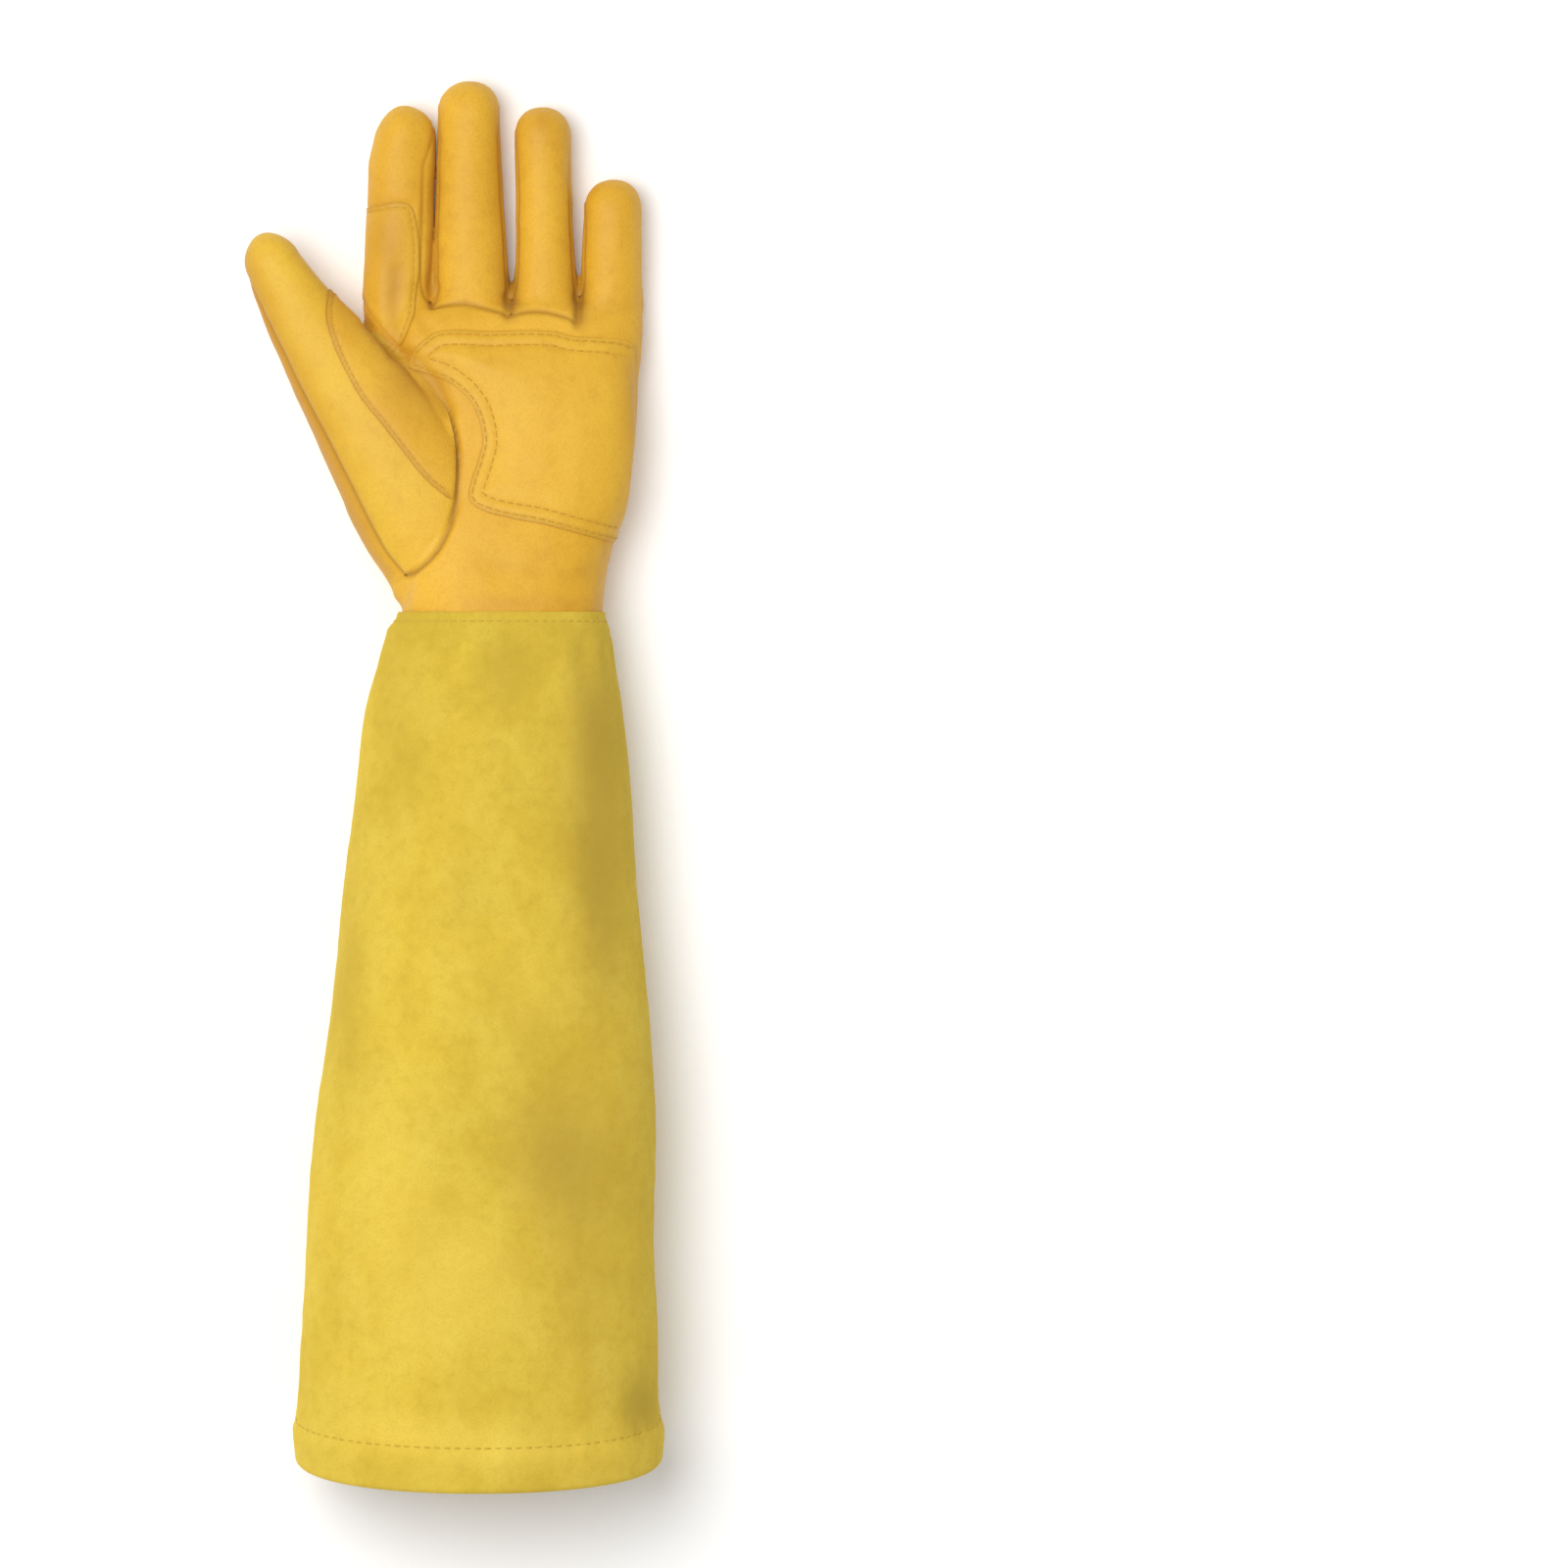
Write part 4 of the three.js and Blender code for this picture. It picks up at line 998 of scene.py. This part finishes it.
def bumped(tree, shader, layers):
    """Sums of height layers as one bump. layers: (source, millimetres)."""
    total = None
    for source, size in layers:
        one = math_node(tree, "MULTIPLY", source, size * MM)
        total = one if total is None else math_node(tree, "ADD", total, one)
    made = node(tree, "ShaderNodeBump", in_Strength=1.0, in_Distance=1.0, in_Height=total)
    feed(tree, shader.inputs["Normal"], made.outputs["Normal"])


def attribute_of(tree, name):
    return node(tree, "ShaderNodeAttribute", attribute_name=name).outputs["Fac"]


def tinted(tree, colour, light, dark, brown):
    """A colour made lighter or darker by the painted light and shade that the mesh carries as tone, and
    browner by the painted shade it carries as dark.
    """
    amount = attribute_of(tree, "tone")
    for factor, towards in ((amount, light), (math_node(tree, "MULTIPLY", amount, -1.0), dark)):
        colour = mixed(tree, ramp(tree, factor, (0.0, 0.0), (1.0, 1.0)), colour, towards)
    if brown:
        colour = mixed(tree, attribute_of(tree, "dark"), colour, brown)
    return colour


def new_material(name, inputs):
    """A material, its tree, and its shader with some inputs set."""
    material = bpy.data.materials.new(name)
    material.use_nodes = True
    tree = material.node_tree
    shader = tree.nodes["Principled BSDF"]
    for label, value in inputs.items():
        shader.inputs[label].default_value = value
    return material, tree, shader


def grain_leather(name, base, dark, light):
    """Smooth golden leather: fine pebbled grain, soft mottling and slightly polished high spots."""
    material, tree, shader = new_material(name, {
        "Sheen Weight": 0.06,
        "Sheen Roughness": 0.5,
        "Coat Weight": 0.05,
        "Coat Roughness": 0.4,
        "Specular IOR Level": 0.35,
    })
    place = node(tree, "ShaderNodeTexCoord").outputs["Object"]
    broad = noise_of(tree, place, 26, 3)
    fine = noise_of(tree, place, 190, 4)
    tone = mixed(tree, ramp(tree, broad, (0.36, 0.0), (0.66, 1.0)), base, light)
    tone = mixed(tree, ramp(tree, fine, (0.5, 0.0), (0.78, 0.3)), tone, dark)
    # Painted light and shade from the mesh: lighter and yellower, darker, and brown in the painted shade
    # of seams, folds and stitch rows
    tone = tinted(tree, tone, srgb(238, 186, 58), srgb(188, 128, 34), srgb(132, 80, 14))
    drift = node(tree, "ShaderNodeTexNoise", in_Vector=place, in_Scale=420.0, in_Detail=2.0)
    moved = node(
        tree, "ShaderNodeVectorMath", drift.outputs["Color"], (0.0013, 0.0013, 0.0013), place,
        operation="MULTIPLY_ADD",
    )
    cells = node(
        tree, "ShaderNodeTexVoronoi", feature="SMOOTH_F1", in_Vector=moved.outputs["Vector"],
        in_Scale=1150, in_Smoothness=0.35,
    ).outputs["Distance"]
    crease = mixed(tree, ramp(tree, cells, (0.4, 0.0), (0.75, 0.16)), tone, dark)
    feed(tree, shader.inputs["Base Color"], crease)
    feed(tree, shader.inputs["Roughness"], ramp(tree, broad, (0.3, 0.52), (0.7, 0.62)))
    pebble = ramp(tree, cells, (0.1, 1.0), (0.75, 0.0))
    warp = noise_of(tree, place, 1500, 2)
    bumped(tree, shader, [(pebble, 0.045), (warp, 0.03), (fine, 0.2)])
    return material


def suede_leather(name, base, dark, light):
    """Brushed split leather: short nap, cloudy patches where it lies the other way, and flecks."""
    material, tree, shader = new_material(name, {
        "Roughness": 0.95,
        "Specular IOR Level": 0.15,
        "Sheen Weight": 0.4,
        "Sheen Roughness": 0.6,
        "Sheen Tint": light,
    })
    place = node(tree, "ShaderNodeTexCoord").outputs["Object"]
    clouds = noise_of(tree, place, 17, 3, 0.5, (1, 0.8, 1))
    blotches = noise_of(tree, place, 52, 5, 0.6, (1, 0.62, 1))
    nap_and_painted_light = noise_of(tree, place, 240, 3, 0.6)
    fibre = noise_of(tree, place, 1300, 3, 0.7)
    tone = mixed(tree, ramp(tree, clouds, (0.4, 0.0), (0.66, 0.55)), base, dark)
    tone = mixed(tree, ramp(tree, blotches, (0.46, 0.0), (0.7, 0.5)), tone, light)
    tone = mixed(tree, ramp(tree, blotches, (0.3, 0.3), (0.48, 0.0)), tone, dark)
    tone = mixed(tree, ramp(tree, nap_and_painted_light, (0.48, 0.0), (0.75, 0.36)), tone, dark)
    tone = mixed(tree, ramp(tree, nap_and_painted_light, (0.26, 0.15), (0.44, 0.0)), tone, light)
    # Painted light and shade from the mesh: lighter and darker
    tone = tinted(tree, tone, srgb(240, 208, 88), srgb(176, 146, 56), None)
    tone = mixed(tree, ramp(tree, fibre, (0.35, 0.26), (0.55, 0.0)), tone, dark)
    feed(tree, shader.inputs["Base Color"], tone)
    bumped(tree, shader, [(fibre, 0.1), (nap_and_painted_light, 0.25)])
    return material


def thread_material(name, dark, light):
    material, tree, shader = new_material(name, {"Roughness": 0.7, "Specular IOR Level": 0.25})
    twist = node(
        tree, "ShaderNodeTexWave", in_Vector=node(tree, "ShaderNodeTexCoord").outputs["Object"],
        in_Scale=900.0, in_Distortion=1.0, bands_direction="DIAGONAL",
    ).outputs["Fac"]
    feed(tree, shader.inputs["Base Color"], mixed(tree, twist, dark, light))
    bumped(tree, shader, [(twist, 0.06)])
    return material


HAND = grain_leather("hand_leather", srgb(221, 166, 38), srgb(191, 132, 24), srgb(229, 177, 46))
# Painted light: a lighter, yellower copy of the hand's leather, for the lamp that falls on the thumb
LIT_THUMB_LEATHER = grain_leather("thumb_leather", srgb(224, 176, 46), srgb(198, 145, 30), srgb(232, 188, 56))
PATCH = grain_leather("patch_leather", srgb(223, 171, 42), srgb(193, 138, 28), srgb(232, 183, 52))
CROTCH = grain_leather("crotch_leather", srgb(221, 166, 40), srgb(191, 134, 26), srgb(230, 180, 50))
SUEDE = suede_leather("sleeve_leather", srgb(222, 190, 66), srgb(190, 159, 50), srgb(232, 205, 88))
HAND_THREAD = thread_material("hand_thread", srgb(196, 144, 44), srgb(220, 168, 58))
SLEEVE_THREAD = thread_material("sleeve_thread", srgb(198, 166, 56), srgb(214, 182, 68))


# Panels

SEAM_OVERLAP = 0.02
CORNER_OVERLAP = 0.2
WRIST_TRIM = 0.8
open_wrist = hand_y + WRIST_TUCK - WRIST_TRIM
# Painted shade in the seams' grooves, in the folds and between the fingers, carried with the painted light
# and shade of the tone
dark = np.clip(np.maximum(seam_painted_shade, fold_painted_shade), 0, 1)
bundle = np.column_stack([skin, lining, open_wrist, dark, tone])
# Panels share a hair of leather along a seam, and a little more where three of them meet
of_three = hand_tris[(labels[hand_tris] != labels[np.roll(hand_tris, 1, axis=1)]).all(1)]
overlap = np.full(len(hand), SEAM_OVERLAP)
overlap[of_three.ravel()] = CORNER_OVERLAP
for k, name in enumerate(fields):
    ahead = (stack[k] - np.delete(stack, k, axis=0).max(0)) / 2
    values, tris = clip(bundle, hand_tris, ahead + overlap)
    values, tris = clip(values, tris, values[:, 6])
    values, tris = largest(values, tris)
    points, faces = thickened(values[:, :3], values[:, 3:6], tris)
    # The thumb panel takes the lit copy of the leather, as painted light
    material = LIT_THUMB_LEATHER if name == "thumb_panel" else HAND
    shades = {"dark": np.tile(values[:, 7], 2), "tone": np.tile(values[:, 8], 2)}
    add_piece(name + "_leather", points, faces, material, [name], 35, shades)


# Second layers

LAYER_EDGE = 0.45
LAYER_RISE = 0.65
LAYER_GAP = 0.04
STITCH_DIP = 0.28
PAD_BAND = 5.2
PAD_RISE = 2.3
PALM_STITCHES = 1.5
CROTCH_STITCHES = 1.6
INDEX_STITCHES = 1.6


def stitch_row(edge, away, distance, slack=1):
    """Distance from a row along a layer's outline, and far off where something else ends the layer."""
    return edge - distance + 60 * (away < edge - slack)


def stitched_edge(away, rows):
    """Height of a second layer near its edge, with a dip along each row of stitches."""
    height_now = LAYER_EDGE + LAYER_RISE * (1 - np.exp(-np.maximum(away, 0) / 0.6))
    for row_away in rows:
        height_now = height_now - STITCH_DIP * bump(row_away, 0.7)
    return height_now


# A second layer over the hand, with painted shade along its rows of stitches and its edge, and the folds'
# painted shade
def patch(name, field, rise, nodes, material, stitched, edge_painted_shade):
    row_painted_shade = np.maximum.reduce([amount * bump(away, 0.6) for away, amount in stitched])
    shade = np.clip(np.maximum.reduce([row_painted_shade, edge_painted_shade * bump(field, 0.7), fold_painted_shade]), 0, 1)
    base = np.column_stack([soft_hand, soft_normals, field, rise, shade, tone])
    values, tris = clip(base, hand_tris, field)
    values, tris = largest(values, tris)
    normal = unit(values[:, 3:6])
    top = values[:, :3] + normal * values[:, 7:8]
    bottom = values[:, :3] + normal * LAYER_GAP
    points, faces = thickened(top, bottom, tris)
    shades = {"dark": np.tile(values[:, 8], 2), "tone": np.tile(values[:, 9], 2)}
    obj = add_piece(name, points, faces, material, nodes, 50, shades)
    return obj, (top, normal, values[:, 6], tris)


palm_outline = np.vstack([
    smooth_line(on_palm(PALM_PATCH), 90),
    smooth_line(on_palm(PALM_PATCH_TOP), 50),
])
palm_edge = outline_distance(xy, palm_outline)
palm_away = calm(np.minimum(palm_edge, height - PALM_PATCH_SIDE * PALM_DEPTH))
open_side = smoothstep(hand_x, 30, 42)
low_part = 1 - smoothstep(hand_y, 60, 95)
pad = PAD_RISE * (1 - np.exp(-np.maximum(palm_edge - PAD_BAND, 0) / 7.5))
pad *= smoothstep(palm_away, 0.2, 5)
row_one = stitch_row(palm_edge, palm_away, PALM_STITCHES)
row_two = stitch_row(palm_edge, palm_away, PAD_BAND, 4)
# Painted shade along both stitch rows and the edge, stronger low on the palm and fading out on its open
# side
palm_pad, palm_top = patch(
    "palm_patch_pad", palm_away, stitched_edge(palm_away, (row_one, row_two)) + pad, ["palm_patch"], PATCH,
    ((row_one, 0.16 + 0.06 * low_part), (row_two, 0.08 + 0.05 * low_part)),
    (0.28 + 0.17 * low_part) * (1 - open_side),
)

crotch_outline = np.vstack([smooth_line(on_palm(CROTCH_PATCH_EDGE), 50), on_palm(CROTCH_PATCH_REST)])
crotch_edge = outline_distance(xy, crotch_outline)
inset = CROTCH_PATCH_INSET - smoothstep(hand_y, 48, 66) + smoothstep(hand_y, 72, 84)
crotch_away = calm(np.minimum.reduce([
    crotch_edge,
    outline_distance(xy, thumb_side_outline) - inset,
    height - THUMB_HEIGHT - SEAM_GAP,
]))
crotch_row = stitch_row(crotch_edge, crotch_away, CROTCH_STITCHES)
# In the fold beside the palm the layer thins out
FOLD_THINNING = 0.85
at_seam = bump(crotch_away, 2.2) * smoothstep(crotch_edge - crotch_away, 0.3, 1.5)
thinned = 1 - FOLD_THINNING * smoothstep(hand_y, 62, 76) * at_seam
_, crotch_top = patch(
    "thumb_crotch_layer", crotch_away, stitched_edge(crotch_away, (crotch_row,)) * thinned,
    ["thumb_crotch_patch"], CROTCH, ((crotch_row, 0.3),), 0.55 * bump(crotch_away - crotch_edge, 1),
)

index_row = stitch_row(index_edge, index_away, INDEX_STITCHES)
_, index_top = patch(
    "index_side_layer", index_away, stitched_edge(index_away, (index_row,)), ["index_side_patch"], PATCH,
    ((index_row, 0.16),), 0.3,
)


# The sleeve

FLOOR_ROUNDING = 3.5
HEM_STEPS = 8
INNER_STEP = 3
SLEEVE_SEAM_X = -2.0
LAP_STITCHES = 2.8
# height, size, factor on Y and seed
SLEEVE_NOISE = [(0.9, 42, 0.55, 11), (0.45, 19, 0.6, 12), (0.16, 6, 1, 13), (0.05, 2.4, 1, 14)]
sleeve_curves = curves(SLEEVE_ROWS, "left right top under side")


def dented(at, angle):
    deep = 0
    for place, around, share, along, across in SLEEVE_DENTS:
        turn = angle / (2 * math.pi) - around / 360
        apart = turn - np.round(turn)
        deep = deep + share * DENT_DEPTH * np.exp(-(((at - place) / along) ** 2) - (apart / across) ** 2)
    return deep


def oval(x, y, z, half, up, down, roundness, angle, lean=0.0):
    across, rise = rounded_section(angle, half, up, down, roundness)
    return np.column_stack([x + across, y - lean * rise / up, z + rise])


def settled(height, reach):
    """Heights kept above the floor, and rounded where the leather turns up from it."""
    near = np.maximum(reach - np.abs(height), 0)
    return np.maximum(height, 0) + near**2 / (4 * reach)


def sleeve_ring(at, angle):
    """The sleeve's outer form at a share of its length. Its top edge has the wrist's own form."""
    held = max(at, SLEEVE_ROWS[0][0])
    left = sleeve_curves["left"](held) * MOUTH_WIDTH
    right = sleeve_curves["right"](held) * MOUTH_WIDTH
    side = sleeve_curves["side"](held) * MOUTH_HEIGHT
    up = sleeve_curves["top"](held) * MOUTH_HEIGHT - side
    down = side - sleeve_curves["under"](held) * MOUTH_HEIGHT
    move = -dented(at, angle)
    lean = MOUTH_LEAN * float(smoothstep(at, 0.7, 1))
    y = -at * SLEEVE_LENGTH
    body = oval(
        (left + right) / 2, y, side, (right - left) / 2 + move, up + move, down + move,
        SLEEVE_ROUNDNESS, angle, lean,
    )
    if at < SLEEVE_ROWS[0][0]:
        x, half, wrist_side, wrist_up, wrist_down = palm_section(0)
        grow = SEAM_GAP + LAP_EDGE - WRIST_PINCH
        cuff = oval(
            x, y, wrist_side, half + grow, wrist_up + grow, wrist_down + grow, PALM_ROUNDNESS, angle
        )
        share = smoothstep(at, -SLEEVE_LAP / SLEEVE_LENGTH, SLEEVE_ROWS[0][0])
        body = cuff + (body - cuff) * share
    body[:, 2] = settled(body[:, 2], FLOOR_ROUNDING)
    return body


angle = np.linspace(0, 2 * math.pi, SLEEVE_SIDES, endpoint=False)
top_at = -SLEEVE_LAP / SLEEVE_LENGTH
mouth_at = 1 - SLEEVE_LEATHER / SLEEVE_LENGTH
rows_at = np.linspace(top_at, mouth_at, round(SLEEVE_LENGTH / SLEEVE_STEP))
grid = np.array([sleeve_ring(at, angle) for at in rows_at])
slope_along = np.gradient(grid, axis=0)
slope_round = np.roll(grid, -1, axis=1) - np.roll(grid, 1, axis=1)
grid_normal = unit(np.cross(slope_round, slope_along))
outwards = ((grid - grid.mean(1, keepdims=True)) * grid_normal).sum()
grid_normal *= 1 if outwards > 0 else -1

flat = grid.reshape(-1, 3)
wave = layered_noise(flat, SLEEVE_NOISE).reshape(grid.shape[:2])
from_top = (rows_at - top_at) * SLEEVE_LENGTH
from_mouth = (mouth_at - rows_at) * SLEEVE_LENGTH
# The waves are weaker at both ends. Creases run along the edge of the lap, along its stitches and
# along the hem's edge
worn = smoothstep(from_top, 0, 14) * (0.35 + 0.65 * smoothstep(from_mouth, 0, 26))
creases = (
    -0.3 * bump(from_top - LAP_WIDTH, 1.0)
    - 0.25 * bump(from_top - LAP_STITCHES, 0.6)
    + 0.2 * smoothstep(LAP_WIDTH - from_top, -0.8, 0.8)
    - 0.42 * bump(from_mouth - HEM_WIDTH, 1.1)
    + 0.3 * bump(from_mouth - HEM_WIDTH + 3.4, 2.6)
)
detail = wave * worn[:, None] + creases[:, None]
# Gathers below the lap and puckers along the hem are uneven waves round the sleeve
gather = 0.34 * np.cos(angle * 19 + 2.2 * np.sin(angle * 3)) + 0.26 * np.cos(angle * 11 + 1)
detail += (bump(from_top - 10, 17) * smoothstep(from_top, 5, 13))[:, None] * gather[None, :]
pucker = np.cos(angle * 46 + 1.7 * np.sin(angle * 5)) * 0.16 + np.cos(angle * 29 + 2) * 0.1
detail += bump(from_mouth - HEM_WIDTH, 5)[:, None] * pucker[None, :]
# The lengthwise seam runs along the underside
seam_away = grid[:, :, 0] - SLEEVE_SEAM_X
detail -= 0.7 * bump(seam_away, 1.1) * (grid[:, :, 2] < 6)
outer = grid + grid_normal * detail[:, :, None]
outer[:, :, 2] = np.maximum(outer[:, :, 2], 0)


def sleeve_mesh():
    """The outside, the fold at the mouth, the inside, and the edge under the lap, as one closed skin."""
    stations = list(outer)
    along = unit(outer[-1] - outer[-2])
    for turn in np.linspace(0, math.pi, HEM_STEPS)[1:-1]:
        inwards = grid_normal[-1] * SLEEVE_LEATHER * (1 - math.cos(turn))
        stations.append(outer[-1] - inwards + along * SLEEVE_LEATHER * math.sin(turn))
    inner_start = len(stations)
    # The turned hem is twice as thick, and the edge under the lap is thinner
    for k in np.arange(len(rows_at) - 1, -1, -INNER_STEP):
        depth = SLEEVE_LEATHER * (1 + float(smoothstep(HEM_WIDTH - from_mouth[k], -0.8, 0.8)))
        depth -= (SLEEVE_LEATHER - LAP_EDGE) * float(smoothstep(6 - from_top[k], 0, 6))
        stations.append(grid[k] + grid_normal[k] * (0.5 * detail[k][:, None] - depth))
    stations.append((stations[-1] + outer[0]) * 0.5 + np.array([0, 0.35, 0]))
    points = np.array(stations)
    points[:, :, 2] = np.maximum(points[:, :, 2], 0)
    points[inner_start:-1, :, 2] = np.maximum(points[inner_start:-1, :, 2], SLEEVE_CLEARANCE)
    count = len(points)
    faces = [between_rings(i, (i + 1) % count, SLEEVE_SIDES) for i in range(count)]
    return points.reshape(-1, 3), np.vstack(faces)


# Spots of painted light and shade on the sleeve, mostly darker towards its sides and lighter near the hem.
# x, y, reach across and along in millimetres, and a tone from -1, darker, to 1, lighter
PAINTED_LIGHT_ON_SLEEVE = [
    (36, -62, 12, 48, -0.7),
    (0, -20, 7, 14, -0.3),
    (22, -190, 22, 26, -0.7),
    (28, -232, 18, 30, -0.3),
    (32, -34, 9, 22, -0.35),
    (37, -112, 9, 26, -0.35),
    (50, -280, 6, 12, -0.8),
    (-12, -95, 10, 16, -0.25),
    (-38, -30, 9, 40, -0.25),
    (-54, -110, 9, 60, -0.25),
    (-42, -205, 20, 30, 0.2),
    (-10, -236, 24, 24, 0.55),
    (-34, -288, 30, 6, 0.4),
    (2, -294, 30, 8, 0.55),
    (8, -150, 14, 30, 0.25),
]
sleeve_points, sleeve_faces = sleeve_mesh()
a, b, c = (sleeve_points[sleeve_faces[:, k]] for k in range(3))
if (np.cross(b - a, c - a) * a).sum() < 0:
    sleeve_faces = sleeve_faces[:, ::-1]
# Spots of painted light and shade, fading out low on the sleeve
nap_and_painted_light = spots(sleeve_points, PAINTED_LIGHT_ON_SLEEVE) * smoothstep(sleeve_points[:, 2], 14, 30)
add_piece(
    "sleeve_leather_shell", sleeve_points, sleeve_faces, SUEDE, ["sleeve"], 50,
    {"tone": nap_and_painted_light},
)


# Stitches


def contour(top, normal, values, tris, level):
    """Lines where a field over a mesh has a level: places, normals and whether a line is closed."""
    above = values > level
    count = above[tris].sum(1)
    links = {}
    for tri in tris[(count == 1) | (count == 2)]:
        ends = []
        for a, b in ((0, 1), (1, 2), (2, 0)):
            i, j = int(tri[a]), int(tri[b])
            if above[i] != above[j]:
                ends.append((min(i, j), max(i, j)))
        links.setdefault(ends[0], []).append(ends[1])
        links.setdefault(ends[1], []).append(ends[0])
    lines, seen = [], set()
    starts = sorted(links, key=lambda end: len(links[end]))
    for start in starts:
        if start in seen:
            continue
        chain, here = [start], start
        seen.add(start)
        while True:
            following = [key for key in links[here] if key not in seen]
            if not following:
                break
            here = following[0]
            seen.add(here)
            chain.append(here)
        keys = np.array(chain)
        share = (level - values[keys[:, 0]]) / (values[keys[:, 1]] - values[keys[:, 0]])
        place = top[keys[:, 0]] + share[:, None] * (top[keys[:, 1]] - top[keys[:, 0]])
        lines.append((place, normal[keys[:, 0]], start in links.get(here, [])))
    return lines


def spaced(place, normal, closed, spacing):
    """Evenly spaced places along a line, with their directions."""
    if closed:
        place = np.vstack([place, place[:1]])
        normal = np.vstack([normal, normal[:1]])
    for _ in range(3):
        place[1:-1] = (place[:-2] + 2 * place[1:-1] + place[2:]) / 4
    step = np.linalg.norm(np.diff(place, axis=0), axis=1)
    run = np.concatenate([[0], np.cumsum(step)])
    if run[-1] < spacing * 3:
        return None

    def sampled(at, rows):
        return np.column_stack([np.interp(at, run, rows[:, k]) for k in range(3)])

    at = np.arange(spacing / 2, run[-1], spacing)
    where = sampled(at, place)
    along = unit(sampled(at + 0.4, place) - sampled(at - 0.4, place))
    up = sampled(at, normal)
    up = unit(up - along * (up * along).sum(1, keepdims=True))
    return where, along, up


def stitches(runs, length, radius):
    """Short rounded stitches along runs, as one mesh."""
    sides = 6
    # Along a stitch: places as shares of half its length, and the share of its radius that it has there
    share = np.array([-1, -0.72, 0, 0.72, 1.0])
    wide = np.array([0.5, 0.92, 1.0, 0.92, 0.5])
    turn = np.arange(sides) * 2 * math.pi / sides
    points, faces, start = [], [], 0
    last = (len(share) - 1) * sides
    quads = np.vstack([between_rings(i, i + 1, sides) for i in range(len(share) - 1)])
    caps = [[(0, k + 1, k), (last, last + k, last + k + 1)] for k in range(1, sides - 1)]
    shape_faces = np.vstack([quads[:, [0, 3, 2]], quads[:, [0, 2, 1]], *caps])
    for where, along, up in runs:
        side = np.cross(along, up)
        for p, t, n, b in zip(where, along, up, side):
            sink = radius * (0.35 - 0.8 * share**4)
            for s, w, z in zip(share, wide, sink):
                centre = p + t * s * length / 2 + n * z
                points.append(
                    centre
                    + np.outer(np.cos(turn), b) * radius * w
                    + np.outer(np.sin(turn), n) * radius * w * 0.8
                )
            faces.append(shape_faces + start)
            start += len(share) * sides
    return np.vstack(points), np.vstack(faces)


# How far a stitch may stray from its row
ROW_SLACK = 1.2


def stitch_piece(name, sheet, levels, outline, spacing, length, radius):
    """Rows of stitches along a patch's own outline, at distances from it, with no short rows."""
    runs = []
    for level in levels:
        for place, up, closed in contour(*sheet, level):
            made = spaced(place, up, closed, spacing)
            if made:
                keep = np.abs(outline_distance(made[0][:, :2], outline) - level) < ROW_SLACK
                keep &= np.convolve(keep, np.ones(5), "same") > 2.5
                runs.append(tuple(part[keep] for part in made))
    points, faces = stitches(runs, length, radius)
    add_piece(name, points, faces, HAND_THREAD, [], 60)


stitch_piece("palm_patch_stitches", palm_top, (PALM_STITCHES, PAD_BAND), palm_outline, 3.2, 2.5, 0.27)
stitch_piece("thumb_crotch_stitches", crotch_top, (CROTCH_STITCHES,), crotch_outline, 2.8, 2.2, 0.2)
stitch_piece("index_side_stitches", index_top, (INDEX_STITCHES,), index_outline, 2.8, 2.2, 0.2)

# Round the sleeve they stop where it lies on the floor
runs = []
for distances, wanted, spacing in ((from_top, LAP_STITCHES, 3.2), (from_mouth, HEM_WIDTH, 3.6)):
    row = int(np.argmin(np.abs(distances - wanted)))
    made = spaced(outer[row], grid_normal[row], True, spacing)
    runs.append(tuple(part[made[0][:, 2] > 0.9] for part in made))
points, faces = stitches(runs, 2.5, 0.34)
add_piece("sleeve_stitches", points, faces, SLEEVE_THREAD, [], 60)


# Stage, in metres, but for the camera's sensor and the place it is aimed at, in millimetres

FLOOR_HALF = 9
FLOOR_DEPTH = 0.0003
FRAME_SIDE = 0.5547
CAMERA_HEIGHT = 12
SENSOR = 36
FRAME_CENTRE = (99.8, -59.6, 0)

floor_mesh = bpy.data.meshes.new("floor")
corners = [(x * FLOOR_HALF, y * FLOOR_HALF, -FLOOR_DEPTH) for x, y in ((-1, -1), (1, -1), (1, 1), (-1, 1))]
floor_mesh.from_pydata(corners, [], [(0, 1, 2, 3)])
floor = placed("floor", floor_mesh)
pale, _, _ = new_material("floor", {
    "Base Color": (0.94, 0.94, 0.94, 1),
    "Roughness": 0.9,
    "Emission Color": (1, 1, 1, 1),
    "Emission Strength": 0.12,
})
floor_mesh.materials.append(pale)

world = bpy.data.worlds.new("studio")
world.use_nodes = True
background = world.node_tree.nodes["Background"]
background.inputs[0].default_value = (1, 1, 1, 1)
background.inputs[1].default_value = 0.46
bpy.context.scene.world = world

key = bpy.data.lights.new("key", "AREA")
key.shape = "DISK"
key.size = 1.5
key.energy = 35
light = placed("key", key)
light.location = (-0.62, 0.3, 2.05)
light.rotation_euler = (-light.location).to_track_quat("-Z", "Y").to_euler()

camera_data = bpy.data.cameras.new("camera")
camera_data.sensor_width = SENSOR
camera_data.lens = SENSOR * CAMERA_HEIGHT / FRAME_SIDE
camera_data.clip_end = 60
camera = placed("camera", camera_data)
centre = (np.array(FRAME_CENTRE) + OFFSET) * MM
camera.location = (centre[0], centre[1], CAMERA_HEIGHT + 0.03)
bpy.context.scene.camera = camera
bpy.context.scene.view_settings.view_transform = "Standard"
